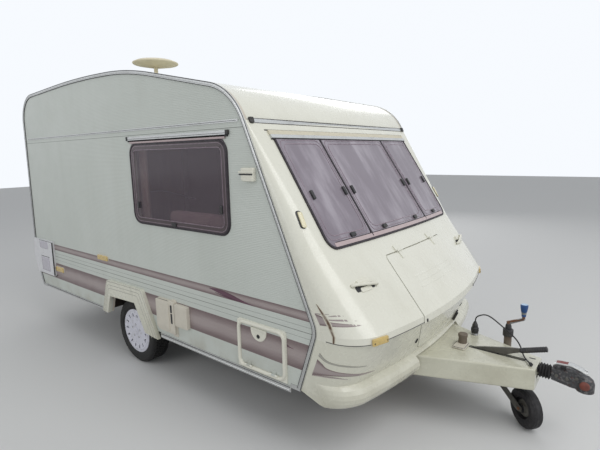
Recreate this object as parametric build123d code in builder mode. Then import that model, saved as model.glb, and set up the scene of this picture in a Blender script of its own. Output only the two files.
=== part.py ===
from build123d import *
from math import cos, pi, radians, sin, tan
import os

os.makedirs("parts", exist_ok=True)

# Travel caravan, in millimetres: +X forward to the coupling, +Y to the nearside, +Z up.
# The origin lies on the ground below the middle of the overall length and width.
overall_length = 5260.0
rear_overhang = 1924.0
body_width = 2130.0
roof_height = 2523.0
rear_end = -1904.0
half = body_width / 2
wall = 28.0
seat = 0.3
axle_x = rear_overhang - overall_length / 2


def sta(x):
    """Station x ahead of the axle, as a position along the caravan."""
    return axle_x + x


# Side outline, its corners in order: x ahead of the axle, z, corner radius.
sill_z = 432.0
outline_corners = [
    (rear_end + 138.0, sill_z, 0.0),
    (rear_end, 775.0, 45.0),
    (rear_end + 32.0, 930.0, 60.0),
    (rear_end + 107.0, roof_height - 51.0, 285.0),
    (rear_end + 1404.0, roof_height, 12000.0),
    (322.0, roof_height - 31.0, 3500.0),
    (1476.0, roof_height - 284.0, 420.0),
    (2081.0, 830.0, 140.0),
    (1950.0, sill_z, 0.0),
]
rear_joint_z = roof_height - 336.0
rail_joint_z = roof_height - 481.0
bumper_joint_z = 925.0
lip_z = 785.0

# Front moulding, plan sections: z, x of the corner, x of the middle, corner radius.
upper_front = [
    (rail_joint_z, 1571.0, 1577.0, 10.0),
    (1260.0, 2057.0, 2112.0, 150.0),
    (830.0, 2346.0, 2501.0, 240.0),
    (lip_z, 2346.0, 2506.0, 240.0),
]
lower_front = [
    (lip_z, 2331.0, 2491.0, 230.0),
    (512.0, 2222.0, 2370.0, 218.0),
]
# Roll along its foot: height of the middle, half height, how far it stands out, rows, inner end.
roll_z = 442.0
roll_half = 70.0
roll_bulge = 75.0
roll_rows = 7
roll_end_y = 374.0
roll_low_x = 2140.0
for i in range(roll_rows):
    turn = pi * (i + 1) / (roll_rows + 1)
    stand = roll_bulge * sin(turn)
    lower_front.append((roll_z + roll_half * cos(turn), 2205.0 + stand, 2352.0 + stand, 216.0))
front_back_x = 1200.0
front_reach = 1500.0

# Windows: acrylic panes that overlap their openings all round.
pane = 8.0
pane_lap = 24.0
side_window = (837.0, 1635.0, 1114.0, 630.0, 80.0)
# Front panes: y of the centre, width.
middle_pane = body_width - 1280.0
side_pane = 440.0
side_pane_y = half - 396.0
front_panes = [(0.0, middle_pane), (-side_pane_y, side_pane), (side_pane_y, side_pane)]
front_pane_z = 1622.0
front_pane_height = 690.0
front_pane_radius = 60.0
rear_window = (0.0, 1560.0, 1100.0, 520.0, 80.0)
rail_height = 26.0
rail_depth = 16.0

# Entry door on the nearside.
door_x = -850.0
door_width = 580.0
door_bottom = 470.0
door_height = 1552.0
door_gap = 6.0
door_radius = 60.0
door_pane_z = 1700.0
door_pane_width = 330.0
door_pane_height = 460.0

# Service locker on the offside and the front gas locker.
locker_x = 1640.0
locker_z = 608.0
locker_width = 426.0
locker_height = 336.0
locker_rim = 32.0
locker_rim_depth = 8.0
hatch_gap = 5.0
lid_top_z = 1165.0
lid_bottom_z = 545.0
lid_top_half = 445.0
lid_waist_half = 480.0
lid_bottom_half = 330.0
lid_proud = 3.0
lid_hinge_y = 271.0

# Wheels, arches and axle.
tyre_radius = 291.5
tyre_width = 175.0
tyre_y = half - 150.0
rim_radius = 178.0
trim_radius = 195.0
trim_slots = 14
arch_outer = [(-380.0, 435.0), (-262.0, 745.0), (305.0, 755.0), (500.0, 375.0)]
arch_inner = [(-312.0, 360.0), (-222.0, 602.0), (182.0, 620.0), (345.0, 340.0)]
arch_depth = 30.0
box_length = 740.0
box_inner_y = half - 295.0
box_top_z = 690.0
box_wall = 10.0

# Chassis and drawbar.
chassis_top = sill_z
chassis_depth = 100.0
rail_y = 600.0
rail_flange = 45.0
rail_metal = 5.0
rail_rear_x = rear_end + 204.0
rail_bend_x = 1100.0
nose_x = 2960.0
nose_y = 66.0
axle_tube_x = 150.0
axle_tube_size = 84.0
stub_radius = 20.0
cover_rear_x = 2352.0
cover_front_x = 3035.0
cover_top_z = 490.0
cover_low_z = 350.0
cover_wall = 5.0
slot_rear_x = 2610.0
slot_front_x = 2954.0
shaft_z = 455.0
shaft_radius = 20.0
ball_x = 3288.0
ball_z = 428.0
socket_radius = 25.2
head_radius = 48.0

# Jockey wheel.
jockey_x = 2800.0
jockey_y = 222.0
jockey_turn = -43.0
jockey_trail = 235.0
jockey_radius = 132.0
jockey_width = 80.0
jockey_tube_radius = 24.0
jockey_tube_low = 232.0
jockey_tube_top = 540.0
crank_reach = 92.0

# On the drawbar cover: post, parked plug and the car lead. Lead points: x, y, z.
post_x = 2560.0
post_height = 80.0
plug_x = 2575.0
plug_y = 222.0
park_height = 15.0
plug_low = cover_top_z + park_height
plug_top = plug_low + 85.0
lead_diameter = 9.0
lead_points = [
    (plug_x, plug_y, plug_top), (plug_x, plug_y, plug_top + 32.0), (2610.0, 217.0, 648.0),
    (2650.0, 208.0, 664.0),
    (2695.0, 196.0, 655.0), (2750.0, 177.0, 628.0), (2808.0, 151.0, 602.0), (2866.0, 125.0, 574.0),
    (2904.0, 100.0, 542.0), (2929.0, 62.0, 507.0), (2950.0, 18.0, 499.0), (2975.0, -24.0, 501.0),
    (2998.0, -58.0, 503.0),
]

# Corner steadies: x of the pivot, side, direction of the leg.
steady_table = [
    ("front_offside_steady", 1250.0, -1.0, 1.0),
    ("front_nearside_steady", 1250.0, 1.0, 1.0),
    ("rear_offside_steady", -1180.0, -1.0, -1.0),
    ("rear_nearside_steady", -1180.0, 1.0, -1.0),
]
steady_y = half - 225.0
steady_pivot_z = 372.0
steady_length = 350.0
steady_width = 44.0
steady_pin = 6.0
floor_thickness = 40.0
floor_rear_x = rear_end + 204.0
floor_front_x = 1900.0


# Hinges: barrel and pin radius, lengths of the middle knuckle and of each end knuckle, leaf.
barrel_radius = 7.0
pin_radius = 3.0
mid_knuckle = 30.0
end_knuckle = 20.0
hinge_drop = 10.0
leaf_metal = 5.0


def wall_plane(side, out=0.0):
    """Plane of a side wall's inner face, moved out; extruding goes towards -Y."""
    return Plane.XZ.offset(half - wall + out) if side < 0 else Plane.XZ.offset(-half - out)


# Outlines, kept as flat shapes with x along the caravan and y upward.
with BuildSketch() as outline:
    with BuildLine():
        Polyline(*[(sta(x), z) for x, z, r in outline_corners], close=True)
    make_face()
    for x, z, r in outline_corners:
        if r > 0:
            fillet(outline.vertices().sort_by_distance((sta(x), z, 0))[0], r)


def grown(amount):
    """The side outline grown outward by an amount, as a flat shape."""
    with BuildSketch(Plane.XY, mode=Mode.PRIVATE) as shape:
        add(outline.sketch)
        offset(amount=amount, kind=Kind.INTERSECTION)
    return shape.sketch


lining = grown(-wall)


def plan_section(row, inset):
    """One plan section of the front moulding, its outer face moved in by inset."""
    z, corner_x, middle_x, radius = row
    width = half - inset
    back = sta(front_back_x)
    corner = sta(corner_x) - inset
    with BuildSketch(Plane.XY.offset(z)) as section:
        with BuildLine():
            Line((back, -width), (corner, -width))
            ThreePointArc((corner, -width), (sta(middle_x) - inset, 0), (corner, width))
            Line((corner, width), (back, width))
            Line((back, width), (back, -width))
        make_face()
        fillet(section.vertices().group_by(Axis.X)[-1], max(radius - inset, 4.0))
    return section.sketch


def front_loft(rows, inset):
    """Solid of the front moulding between its first and last plan sections."""
    with BuildPart(mode=Mode.PRIVATE) as body:
        loft([plan_section(row, inset) for row in rows], ruled=True)
    return body.part


def front_skin(rows, outer, inner):
    """Shell of the front moulding between two insets, ahead of the side outline."""
    with BuildPart(mode=Mode.PRIVATE) as skin:
        add(front_loft(rows, outer))
        add(front_loft(rows, inner), mode=Mode.SUBTRACT)
        with BuildSketch(Plane.XZ):
            add(outline.sketch)
        extrude(amount=half + wall, both=True, mode=Mode.SUBTRACT)
    return skin.part


def lid_face(grow):
    """Front view of the locker lid, grown by a gap."""
    with BuildSketch(Plane.YZ.offset(sta(front_back_x)), mode=Mode.PRIVATE) as face:
        with BuildLine():
            Polyline(
                (-lid_top_half, lid_top_z), (lid_top_half, lid_top_z), (lid_waist_half, lip_z),
                (lid_bottom_half, lid_bottom_z), (-lid_bottom_half, lid_bottom_z),
                (-lid_waist_half, lip_z), close=True,
            )
        make_face()
        fillet(face.vertices().group_by(Axis.Z)[-1], 25)
        if grow > 0:
            offset(amount=grow)
    return face.sketch


def hinge_form(fixed, reach, drop):
    """Half a hinge about +Z, its leaf along +X if fixed, else -X, on the surface y = -hinge_drop."""
    length = mid_knuckle + 2 * end_knuckle if fixed else mid_knuckle
    way = 1 if fixed else -1
    with BuildPart(mode=Mode.PRIVATE) as form:
        with Locations((way * reach / 2, leaf_metal / 2 - drop / 2 - hinge_drop / 2, 0)):
            Box(reach, leaf_metal + drop - hinge_drop, length)
        Cylinder(barrel_radius, length)
        if fixed:
            Cylinder(hinge_drop + 1, mid_knuckle + 2 * seat, mode=Mode.SUBTRACT)
            Cylinder(pin_radius, length)
        else:
            Cylinder(pin_radius + seat, length, mode=Mode.SUBTRACT)
    return form.part


# Hinge lines: the door's at three heights, the lid's at two places, the hatch's at two.
door_hinge_x = door_x + door_width / 2 + door_gap / 2
door_hinge_y = half + hinge_drop
door_hinge_heights = (640.0, 1290.0, 1900.0)
lid_hinge_x = 2199.6
lid_hinge_z = 1175.6
lid_normal = (0.7415, 0.0, 0.671)
hatch_hinge_y = half + locker_rim_depth + hinge_drop
hatch_hinge_z = locker_z - locker_height / 2 + locker_rim - hatch_gap / 2
hatch_hinge_x = (locker_x - 110.0, locker_x + 110.0)
door_hinges = [
    Plane(origin=(sta(door_hinge_x), door_hinge_y, z), x_dir=(1, 0, 0), z_dir=(0, 0, 1))
    for z in door_hinge_heights
]
lid_hinges = [
    Plane(origin=(sta(lid_hinge_x), y, lid_hinge_z), x_dir=(-lid_normal[2], 0, lid_normal[0]),
          z_dir=(0, 1, 0))
    for y in (-lid_hinge_y, lid_hinge_y)
]
hatch_hinges = [
    Plane(origin=(sta(x), -hatch_hinge_y, hatch_hinge_z), x_dir=(0, 0, -1), z_dir=(-1, 0, 0))
    for x in hatch_hinge_x
]

# Side walls: sandwich panels with the openings cut through.
with BuildPart() as offside_wall:
    with BuildSketch(wall_plane(-1)):
        add(outline.sketch)
        with Locations((sta(side_window[0]), side_window[1])):
            RectangleRounded(side_window[2] - 2 * pane_lap, side_window[3] - 2 * pane_lap, 60,
                             mode=Mode.SUBTRACT)
        with BuildLine():
            Polyline(*[(sta(x), z) for x, z in arch_inner], close=True)
        make_face(mode=Mode.SUBTRACT)
        with Locations((sta(locker_x), locker_z)):
            Rectangle(locker_width - 2 * locker_rim + 2 * hatch_gap,
                      locker_height - 2 * locker_rim + 2 * hatch_gap,
                      mode=Mode.SUBTRACT)
    extrude(amount=wall)
offside_wall.part.label = "offside_wall"
export_step(offside_wall.part, "parts/offside_wall.step")

with BuildPart() as nearside_wall:
    with BuildSketch(wall_plane(1)):
        add(outline.sketch)
        with Locations((sta(side_window[0]), side_window[1])):
            RectangleRounded(side_window[2] - 2 * pane_lap, side_window[3] - 2 * pane_lap, 60,
                             mode=Mode.SUBTRACT)
        with BuildLine():
            Polyline(*[(sta(x), z) for x, z in arch_inner], close=True)
        make_face(mode=Mode.SUBTRACT)
        with Locations((sta(door_x), door_bottom + door_height / 2)):
            RectangleRounded(door_width + 2 * door_gap, door_height + 2 * door_gap, door_radius + door_gap,
                             mode=Mode.SUBTRACT)
    extrude(amount=wall)
nearside_wall.part.label = "nearside_wall"
export_step(nearside_wall.part, "parts/nearside_wall.step")


# Floor panel between the walls, cut round the wheel boxes.
with BuildPart() as floor:
    with BuildSketch(Plane.XY.offset(sill_z)):
        with BuildLine():
            Polyline(
                (sta(floor_rear_x), -half + wall), (sta(floor_front_x), -half + wall),
                (sta(floor_front_x), half - wall), (sta(floor_rear_x), half - wall), close=True,
            )
        make_face()
        for side in (-1, 1):
            with Locations((axle_x, side * half)):
                Rectangle(box_length, 2 * (half - box_inner_y), mode=Mode.SUBTRACT)
    extrude(amount=floor_thickness)
floor.part.label = "floor"
export_step(floor.part, "parts/floor.step")

# Roof, rear panel and rear moulding: stretches of one bent panel between the walls.
band_width = body_width - 2 * wall
band_plane = Plane.XZ.offset(-half + wall)


def band_stretch(corners):
    """The stretch of the panel round the outline that lies inside four corners."""
    with BuildPart(mode=Mode.PRIVATE) as stretch:
        with BuildSketch(band_plane):
            add(outline.sketch)
            add(lining, mode=Mode.SUBTRACT)
            with BuildLine():
                Polyline(*[(sta(x), z) for x, z in corners], close=True)
            make_face(mode=Mode.INTERSECT)
        extrude(amount=band_width)
    return stretch.part


rooflight_x = -300.0
rooflight_size = 400.0
with BuildPart() as roof_panel:
    add(band_stretch([
        (-2100, rear_joint_z), (0, rear_joint_z), (0, rail_joint_z), (1800, rail_joint_z), (1800, 2700),
        (-2100, 2700),
    ]))
roof_panel.part.label = "roof_panel"
export_step(roof_panel.part, "parts/roof_panel.step")

with BuildPart() as rear_panel:
    add(band_stretch([
        (-2100, bumper_joint_z), (-1500, bumper_joint_z), (-1500, rear_joint_z), (-2100, rear_joint_z),
    ]))
    with BuildSketch(Plane.YZ.offset(sta(-2000))):
        with Locations((rear_window[0], rear_window[1])):
            RectangleRounded(rear_window[2] - 2 * pane_lap, rear_window[3] - 2 * pane_lap, 60)
    extrude(amount=400, mode=Mode.SUBTRACT)
rear_panel.part.label = "rear_panel"
export_step(rear_panel.part, "parts/rear_panel.step")

with BuildPart() as rear_bumper:
    add(band_stretch([
        (-2100, sill_z), (floor_rear_x, sill_z), (floor_rear_x, bumper_joint_z), (-2100, bumper_joint_z),
    ]))
rear_bumper.part.label = "rear_bumper"
export_step(rear_bumper.part, "parts/rear_bumper.step")

# Front moulding above the lip, with its window and lid openings.
with BuildPart() as front_panel:
    add(front_skin(upper_front, 0, wall))
    with BuildSketch(Plane.YZ.offset(sta(front_back_x))):
        for y, width in front_panes:
            with Locations((y, front_pane_z)):
                RectangleRounded(width - 2 * pane_lap, front_pane_height - 2 * pane_lap,
                                 front_pane_radius - 15)
    extrude(amount=front_reach, mode=Mode.SUBTRACT)
    extrude(lid_face(hatch_gap), amount=front_reach, mode=Mode.SUBTRACT)
front_panel.part.label = "front_panel"
export_step(front_panel.part, "parts/front_panel.step")

# Front moulding below the lip, notched over the drawbar.
with BuildPart() as front_bumper:
    add(front_skin(lower_front, 0, wall))
    extrude(lid_face(hatch_gap), amount=front_reach, mode=Mode.SUBTRACT)
    with BuildSketch(Plane.YZ.offset(sta(front_back_x))):
        with Locations((0, roll_z - roll_half)):
            Rectangle(2 * roll_end_y, 2 * (cover_top_z + 7 - roll_z + roll_half))
    extrude(amount=front_reach, mode=Mode.SUBTRACT)
    with BuildSketch(Plane.XZ):
        with BuildLine():
            Polyline(
                (sta(front_back_x - 50), sill_z), (sta(outline_corners[-1][0]), sill_z),
                (sta(roll_low_x), roll_z - roll_half), (sta(front_back_x - 50), roll_z - roll_half),
                close=True,
            )
        make_face()
    extrude(amount=half + wall, both=True, mode=Mode.SUBTRACT)
front_bumper.part.label = "front_bumper"
export_step(front_bumper.part, "parts/front_bumper.step")

# Locker lid, folded over the lip.
with BuildPart() as front_locker_lid:
    add(front_skin(upper_front, -lid_proud, wall - lid_proud))
    add(front_skin(lower_front, -lid_proud, wall - lid_proud))
    extrude(lid_face(0), amount=front_reach, mode=Mode.INTERSECT)
    for place in lid_hinges:
        add(place * hinge_form(False, 60, hinge_drop + 3))
front_locker_lid.part.label = "front_locker_lid"
export_step(front_locker_lid.part, "parts/front_locker_lid.step")

# Fixed halves of the door, lid and hatch hinges, with their pins.
with BuildPart() as hinge_leaves:
    for place in lid_hinges:
        add(place * hinge_form(True, 45, hinge_drop + 3))
    add(front_loft(upper_front, -seat), mode=Mode.SUBTRACT)
    for place in door_hinges:
        add(place * hinge_form(True, 42, hinge_drop))
    for place in hatch_hinges:
        add(place * hinge_form(True, 22, hinge_drop))
hinge_leaves.part.label = "hinge_leaves"
export_step(hinge_leaves.part, "parts/hinge_leaves.step")

# Acrylic windows: panes that lap their openings from outside.
with BuildPart() as front_glass:
    add(front_skin(upper_front[:2], -seat - pane, -seat))
    with BuildSketch(Plane.YZ.offset(sta(front_back_x))):
        for y, width in front_panes:
            with Locations((y, front_pane_z)):
                RectangleRounded(width, front_pane_height, front_pane_radius)
    extrude(amount=front_reach, mode=Mode.INTERSECT)
with BuildPart() as rear_glass:
    with BuildSketch(band_plane):
        add(grown(seat + pane))
        add(grown(seat), mode=Mode.SUBTRACT)
    extrude(amount=band_width)
    with BuildSketch(Plane.YZ.offset(sta(rear_end - 96))):
        with Locations((rear_window[0], rear_window[1])):
            RectangleRounded(*rear_window[2:])
    extrude(amount=400, mode=Mode.INTERSECT)
with BuildPart() as windows:
    for side in (-1, 1):
        with BuildSketch(Plane.XZ.offset(half + seat) if side < 0 else Plane.XZ.offset(-half - seat - pane)):
            with Locations((sta(side_window[0]), side_window[1])):
                RectangleRounded(*side_window[2:])
        extrude(amount=pane)
    add(front_glass.part)
    add(rear_glass.part)
windows.part.label = "windows"
export_step(windows.part, "parts/windows.step")

# Aluminium hinge rails above the side, front and rear windows.
side_rail_z = side_window[1] + side_window[3] / 2 + rail_height / 2 + 12
with BuildPart() as front_rail:
    with BuildSketch(Plane.XZ):
        add(grown(rail_depth + seat))
        add(grown(seat), mode=Mode.SUBTRACT)
        with Locations((sta(1570), rail_joint_z - 4)):
            Rectangle(200, rail_height, mode=Mode.INTERSECT)
    extrude(amount=half - 32, both=True)
    add(front_loft(upper_front, -seat), mode=Mode.SUBTRACT)
with BuildPart() as rear_rail:
    with BuildSketch(Plane.XZ):
        add(grown(rail_depth))
        add(outline.sketch, mode=Mode.SUBTRACT)
        with Locations((sta(rear_end + 54), rear_window[1] + rear_window[3] / 2 + rail_height / 2 + 12)):
            Rectangle(200, rail_height, mode=Mode.INTERSECT)
    extrude(amount=rear_window[2] / 2 + 30, both=True)
with BuildPart() as window_rails:
    for side in (-1, 1):
        with BuildSketch(Plane.XZ.offset(half) if side < 0 else Plane.XZ.offset(-half - rail_depth)):
            with Locations((sta(side_window[0]), side_rail_z)):
                RectangleRounded(side_window[2] + 60, rail_height, 5)
        extrude(amount=rail_depth)
    add(front_rail.part)
    add(rear_rail.part)
window_rails.part.label = "window_rails"
export_step(window_rails.part, "parts/window_rails.step")

# Aluminium rail over the joint all round each side wall.
rail_lap = 20.0
rail_stand = 8.0
rail_face = 6.0
with BuildSketch() as edge_shape:
    add(grown(rail_stand))
    add(grown(-rail_lap), mode=Mode.SUBTRACT)
    with Locations((sta(100), sill_z)):
        Rectangle(3560, 80, mode=Mode.SUBTRACT)
with BuildPart() as edge_rails:
    for side in (-1, 1):
        with BuildSketch(Plane.XZ.offset(half) if side < 0 else Plane.XZ.offset(-half - rail_face)):
            add(edge_shape.sketch)
        extrude(amount=rail_face)
edge_rails.part.label = "edge_rails"
export_step(edge_rails.part, "parts/edge_rails.step")

# Side mouldings: the cant strip and the sill strips ahead of and behind the wheel arch.
# x start, x end, z low, z high, depth.
moulding_table = [
    (-1752.0, 1512.0, 2034.0, 2050.0, 5.0),
    (-1679.0, -390.0, 432.0, 458.0, 9.0),
    (512.0, 1879.0, 392.0, 432.0, 6.0),
]
with BuildPart() as side_mouldings:
    for x0, x1, z0, z1, depth in moulding_table:
        for side in (-1, 1):
            with BuildSketch(Plane.XZ.offset(half) if side < 0 else Plane.XZ.offset(-half - depth)):
                with Locations((sta((x0 + x1) / 2), (z0 + z1) / 2)):
                    Rectangle(x1 - x0, z1 - z0)
            extrude(amount=depth)
side_mouldings.part.label = "side_mouldings"
export_step(side_mouldings.part, "parts/side_mouldings.step")

# Wheel arch spats outside and the wheel boxes inside.
with BuildPart() as wheel_spats:
    for side in (-1, 1):
        with BuildSketch(Plane.XZ.offset(half) if side < 0 else Plane.XZ.offset(-half - arch_depth)) as spat:
            with BuildLine():
                Polyline(*[(sta(x), z) for x, z in arch_outer], close=True)
            make_face()
            fillet(spat.vertices().sort_by(Axis.Y)[-2:], 35)
            with BuildLine():
                Polyline(*[(sta(x), z) for x, z in arch_inner], close=True)
            make_face(mode=Mode.SUBTRACT)
        extrude(amount=arch_depth)
wheel_spats.part.label = "wheel_spats"
export_step(wheel_spats.part, "parts/wheel_spats.step")

with BuildPart() as wheel_boxes:
    for side in (-1, 1):
        middle = side * (box_inner_y + half - wall) / 2
        depth = half - wall - box_inner_y
        with Locations((axle_x, middle, (sill_z + box_top_z) / 2)):
            Box(box_length - 1, depth - 1, box_top_z - sill_z)
        with Locations((axle_x, middle + side * box_wall, (sill_z + box_top_z) / 2 - box_wall)):
            Box(box_length - 2 * box_wall, depth, box_top_z - sill_z, mode=Mode.SUBTRACT)
wheel_boxes.part.label = "wheel_boxes"
export_step(wheel_boxes.part, "parts/wheel_boxes.step")

# Appliance vents on the offside: x centre, z centre, width, height, depth.
vent_table = [(617.0, 610.0, 256.0, 268.0, 30.0), (826.0, 640.0, 156.0, 180.0, 26.0)]
with BuildPart() as appliance_vents:
    for x, z, width, height, depth in vent_table:
        with BuildSketch(Plane.XZ.offset(half)):
            with Locations((sta(x), z)):
                RectangleRounded(width, height, 14)
        extrude(amount=depth)
    fillet(appliance_vents.faces().filter_by(Axis.Y).sort_by(Axis.Y)[:2].edges(), 6)
appliance_vents.part.label = "appliance_vents"
export_step(appliance_vents.part, "parts/appliance_vents.step")

# Lamp mouldings at the rear corners.
lamp_depth = 26.0
lamp_front_x = -1400.0
with BuildSketch() as lamp_shape:
    add(grown(-rail_lap - 1))
    with BuildLine():
        Polyline((sta(-2000), 590), (sta(lamp_front_x), 590), (sta(lamp_front_x + 15), 965),
                 (sta(-2000), 965), close=True)
    make_face(mode=Mode.INTERSECT)
with BuildPart() as rear_lamps:
    for side in (-1, 1):
        with BuildSketch(Plane.XZ.offset(half) if side < 0 else Plane.XZ.offset(-half - lamp_depth)):
            add(lamp_shape.sketch)
        extrude(amount=lamp_depth)
    for side in (-1, 1):
        with BuildSketch(Plane.XZ.offset(-side * (half - 120))):
            add(grown(22))
            add(grown(seat), mode=Mode.SUBTRACT)
            with Locations((sta(-1900), 770)):
                Rectangle(200, 290, mode=Mode.INTERSECT)
        extrude(amount=75, both=True)
rear_lamps.part.label = "rear_lamps"
export_step(rear_lamps.part, "parts/rear_lamps.step")


def front_pad(out, y, z, width, height, radius):
    """Pad on the upper front moulding, symmetric left and right, standing out from it."""
    with BuildPart(mode=Mode.PRIVATE) as pad:
        add(front_skin(upper_front, -out, -seat))
        with BuildSketch(Plane.YZ.offset(sta(front_back_x))):
            with Locations((-y, z), (y, z)):
                RectangleRounded(width, height, radius)
        extrude(amount=front_reach, mode=Mode.INTERSECT)
    return pad.part


# Side and corner marker lamps and reflectors: x, z, width, height on the side walls.
marker_table = [(-333.0, 936.0, 184.0, 52.0), (-1292.0, 678.0, 180.0, 58.0)]
with BuildPart() as marker_lamps:
    for x, z, width, height in marker_table:
        for side in (-1, 1):
            with BuildSketch(Plane.XZ.offset(half) if side < 0 else Plane.XZ.offset(-half - 16)):
                with Locations((sta(x), z)):
                    RectangleRounded(width, height, 12)
            extrude(amount=16)
    add(front_pad(16, half - 53, 1459, 36, 96, 14))
    add(front_pad(14, half - 169, 803, 108, 42, 8))
marker_lamps.part.label = "marker_lamps"
export_step(marker_lamps.part, "parts/marker_lamps.step")

# Moulded grab handles on the front corners, hollow behind the grip.
handle_y = half - 267.0
handle_z = 1063.0
with BuildPart() as finger_space:
    add(front_skin(upper_front, -22, 5))
    with BuildSketch(Plane.YZ.offset(sta(front_back_x))):
        with Locations((-handle_y, handle_z), (handle_y, handle_z)):
            Rectangle(130, 80)
    extrude(amount=front_reach, mode=Mode.INTERSECT)
with BuildPart() as grab_handles:
    add(front_pad(34, handle_y, handle_z, 190, 52, 20))
    add(finger_space.part, mode=Mode.SUBTRACT)
grab_handles.part.label = "grab_handles"
export_step(grab_handles.part, "parts/grab_handles.step")

# Front gas locker: bulkhead, top shelf and floor behind the lid.
bulkhead_x = floor_front_x
locker_ceiling_z = 1200.0
with BuildPart() as locker_box:
    with BuildSketch(Plane.XZ.offset(-520)):
        with BuildLine():
            Polyline(
                (sta(bulkhead_x), sill_z), (sta(bulkhead_x), locker_ceiling_z),
                (sta(2100), locker_ceiling_z),
                (sta(2100), locker_ceiling_z - 12), (sta(bulkhead_x + 12), locker_ceiling_z - 12),
                (sta(bulkhead_x + 12), 540), (sta(2300), 540), (sta(2300), 524),
                (sta(bulkhead_x + 12), 524), (sta(bulkhead_x + 12), sill_z), close=True,
            )
        make_face()
    extrude(amount=1040)
locker_box.part.label = "locker_box"
export_step(locker_box.part, "parts/locker_box.step")

# Chassis: folded channel members that bend in to the drawbar.
chassis_low = chassis_top - chassis_depth
drawbar_slope = (rail_y - nose_y) / (nose_x - rail_bend_x)
stay_x = cover_rear_x + 80.0
stay_top = cover_top_z - cover_wall - seat


def member_path(side, inset, width):
    """Plan outline of one long member, inset from its outer face."""
    outer = rail_y - inset
    inner = rail_y - inset - width
    tip_outer = nose_y - inset
    tip_inner = nose_y - inset - width
    return [
        (sta(rail_rear_x), side * outer), (sta(rail_bend_x), side * outer), (sta(nose_x), side * tip_outer),
        (sta(nose_x), side * tip_inner), (sta(rail_bend_x), side * inner), (sta(rail_rear_x), side * inner),
    ]


# Inset from the outer face, width, z low, z high of each leg of the channel.
channel_legs = [
    (0.0, rail_flange, chassis_low, chassis_low + rail_metal),
    (0.0, rail_metal, chassis_low, chassis_top),
    (0.0, rail_flange, chassis_top - rail_metal, chassis_top),
]
cross_members = [-1300.0, -500.0, 900.0, 1750.0]
with BuildPart() as chassis:
    for side in (-1, 1):
        for inset, width, low_z, high_z in channel_legs:
            with BuildSketch(Plane.XY.offset(low_z)):
                with BuildLine():
                    Polyline(*member_path(side, inset, width), close=True)
                make_face()
            extrude(amount=high_z - low_z)
    for x in cross_members:
        reach = rail_y - drawbar_slope * max(x - rail_bend_x, 0)
        with Locations((sta(x), 0, chassis_low + 35)):
            Box(40, 2 * (reach - 3), 60)
    with Locations((sta(nose_x - 130), 0, chassis_low + 50)):
        Box(260, 2 * nose_y - 2, 100)
    with BuildSketch(Plane.YZ.offset(sta(stay_x))):
        with BuildLine():
            Polyline((-225, chassis_top - 2), (225, chassis_top - 2), (178, stay_top), (-178, stay_top),
                     close=True)
        make_face()
    extrude(amount=6)
chassis.part.label = "chassis"
export_step(chassis.part, "parts/chassis.step")

# Axle: tube, trailing arms, back plates and stub shafts.
arm_y = tyre_y - 135.0
back_plate_y = tyre_y - 103.0
stub_y = tyre_y - 50.0
with BuildPart() as axle:
    with Locations((sta(axle_tube_x), 0, chassis_low - axle_tube_size / 2)):
        Box(axle_tube_size, 2 * (arm_y - 40), axle_tube_size)
    for side in (-1, 1):
        with BuildSketch(Plane.XZ.offset(-side * arm_y)) as arm:
            with BuildLine():
                Polyline(
                    (sta(axle_tube_x + 50), chassis_low - 90), (sta(axle_tube_x + 50), chassis_low - 2),
                    (axle_x, tyre_radius + 45), (axle_x - 50, tyre_radius), (axle_x, tyre_radius - 45),
                    close=True,
                )
            make_face()
        extrude(amount=40, both=True)
        with BuildSketch(Plane.XZ.offset(-side * back_plate_y)):
            with Locations((axle_x, tyre_radius)):
                Circle(100)
        extrude(amount=6, both=True)
        with BuildSketch(Plane.XZ.offset(-side * stub_y)):
            with Locations((axle_x, tyre_radius)):
                Circle(stub_radius)
        extrude(amount=50, both=True)
axle.part.label = "axle"
export_step(axle.part, "parts/axle.step")

# Road wheels, made once about +Z as the outward side, then set on the stub shafts.
with BuildPart() as tyre_form:
    with BuildSketch(Plane.XZ):
        with BuildLine():
            Polyline(
                (rim_radius + seat, -60), (rim_radius + seat, -48), (rim_radius + 50, -76),
                (tyre_radius - 14, -66),
                (tyre_radius - 14, 66), (rim_radius + 50, 76), (rim_radius + seat, 48),
                (rim_radius + seat, 60),
                (rim_radius + 55, tyre_width / 2), (tyre_radius - 8, 74), (tyre_radius, 58),
                (tyre_radius, -58), (tyre_radius - 8, -74), (rim_radius + 55, -tyre_width / 2), close=True,
            )
        make_face()
    revolve(axis=Axis.Z)

with BuildPart() as rim_form:
    with BuildSketch(Plane.XZ):
        with BuildLine():
            Polyline(
                (rim_radius, -70), (rim_radius, -54), (150, -44), (150, 20), (rim_radius, 50),
                (rim_radius, 66),
                (trim_radius, 71), (trim_radius, 75), (170, 84), (120, 76), (60, 80), (0, 82), (0, 74),
                (60, 72), (115, 60), (144, 40), (144, -48), (rim_radius - 6, -62), (rim_radius - 6, -70),
                close=True,
            )
        make_face()
    revolve(axis=Axis.Z)
    with BuildSketch(Plane.XY.offset(55)):
        with PolarLocations(146, trim_slots):
            SlotOverall(34, 17)
    extrude(amount=60, mode=Mode.SUBTRACT)
    with BuildSketch(Plane.XY.offset(-75)):
        Circle(132)
    extrude(amount=128)
    with BuildSketch(Plane.XY.offset(-100)):
        Circle(stub_radius + seat)
    extrude(amount=105, mode=Mode.SUBTRACT)

for side, name in ((-1, "offside"), (1, "nearside")):
    hub = Plane(origin=(axle_x, side * tyre_y, tyre_radius), x_dir=(1, 0, 0), z_dir=(0, side, 0))
    with BuildPart(hub) as tyre:
        add(tyre_form.part)
    tyre.part.label = f"{name}_tyre"
    export_step(tyre.part, f"parts/{name}_tyre.step")
    with BuildPart(hub) as rim:
        add(rim_form.part)
    rim.part.label = f"{name}_wheel"
    export_step(rim.part, f"parts/{name}_wheel.step")

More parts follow.
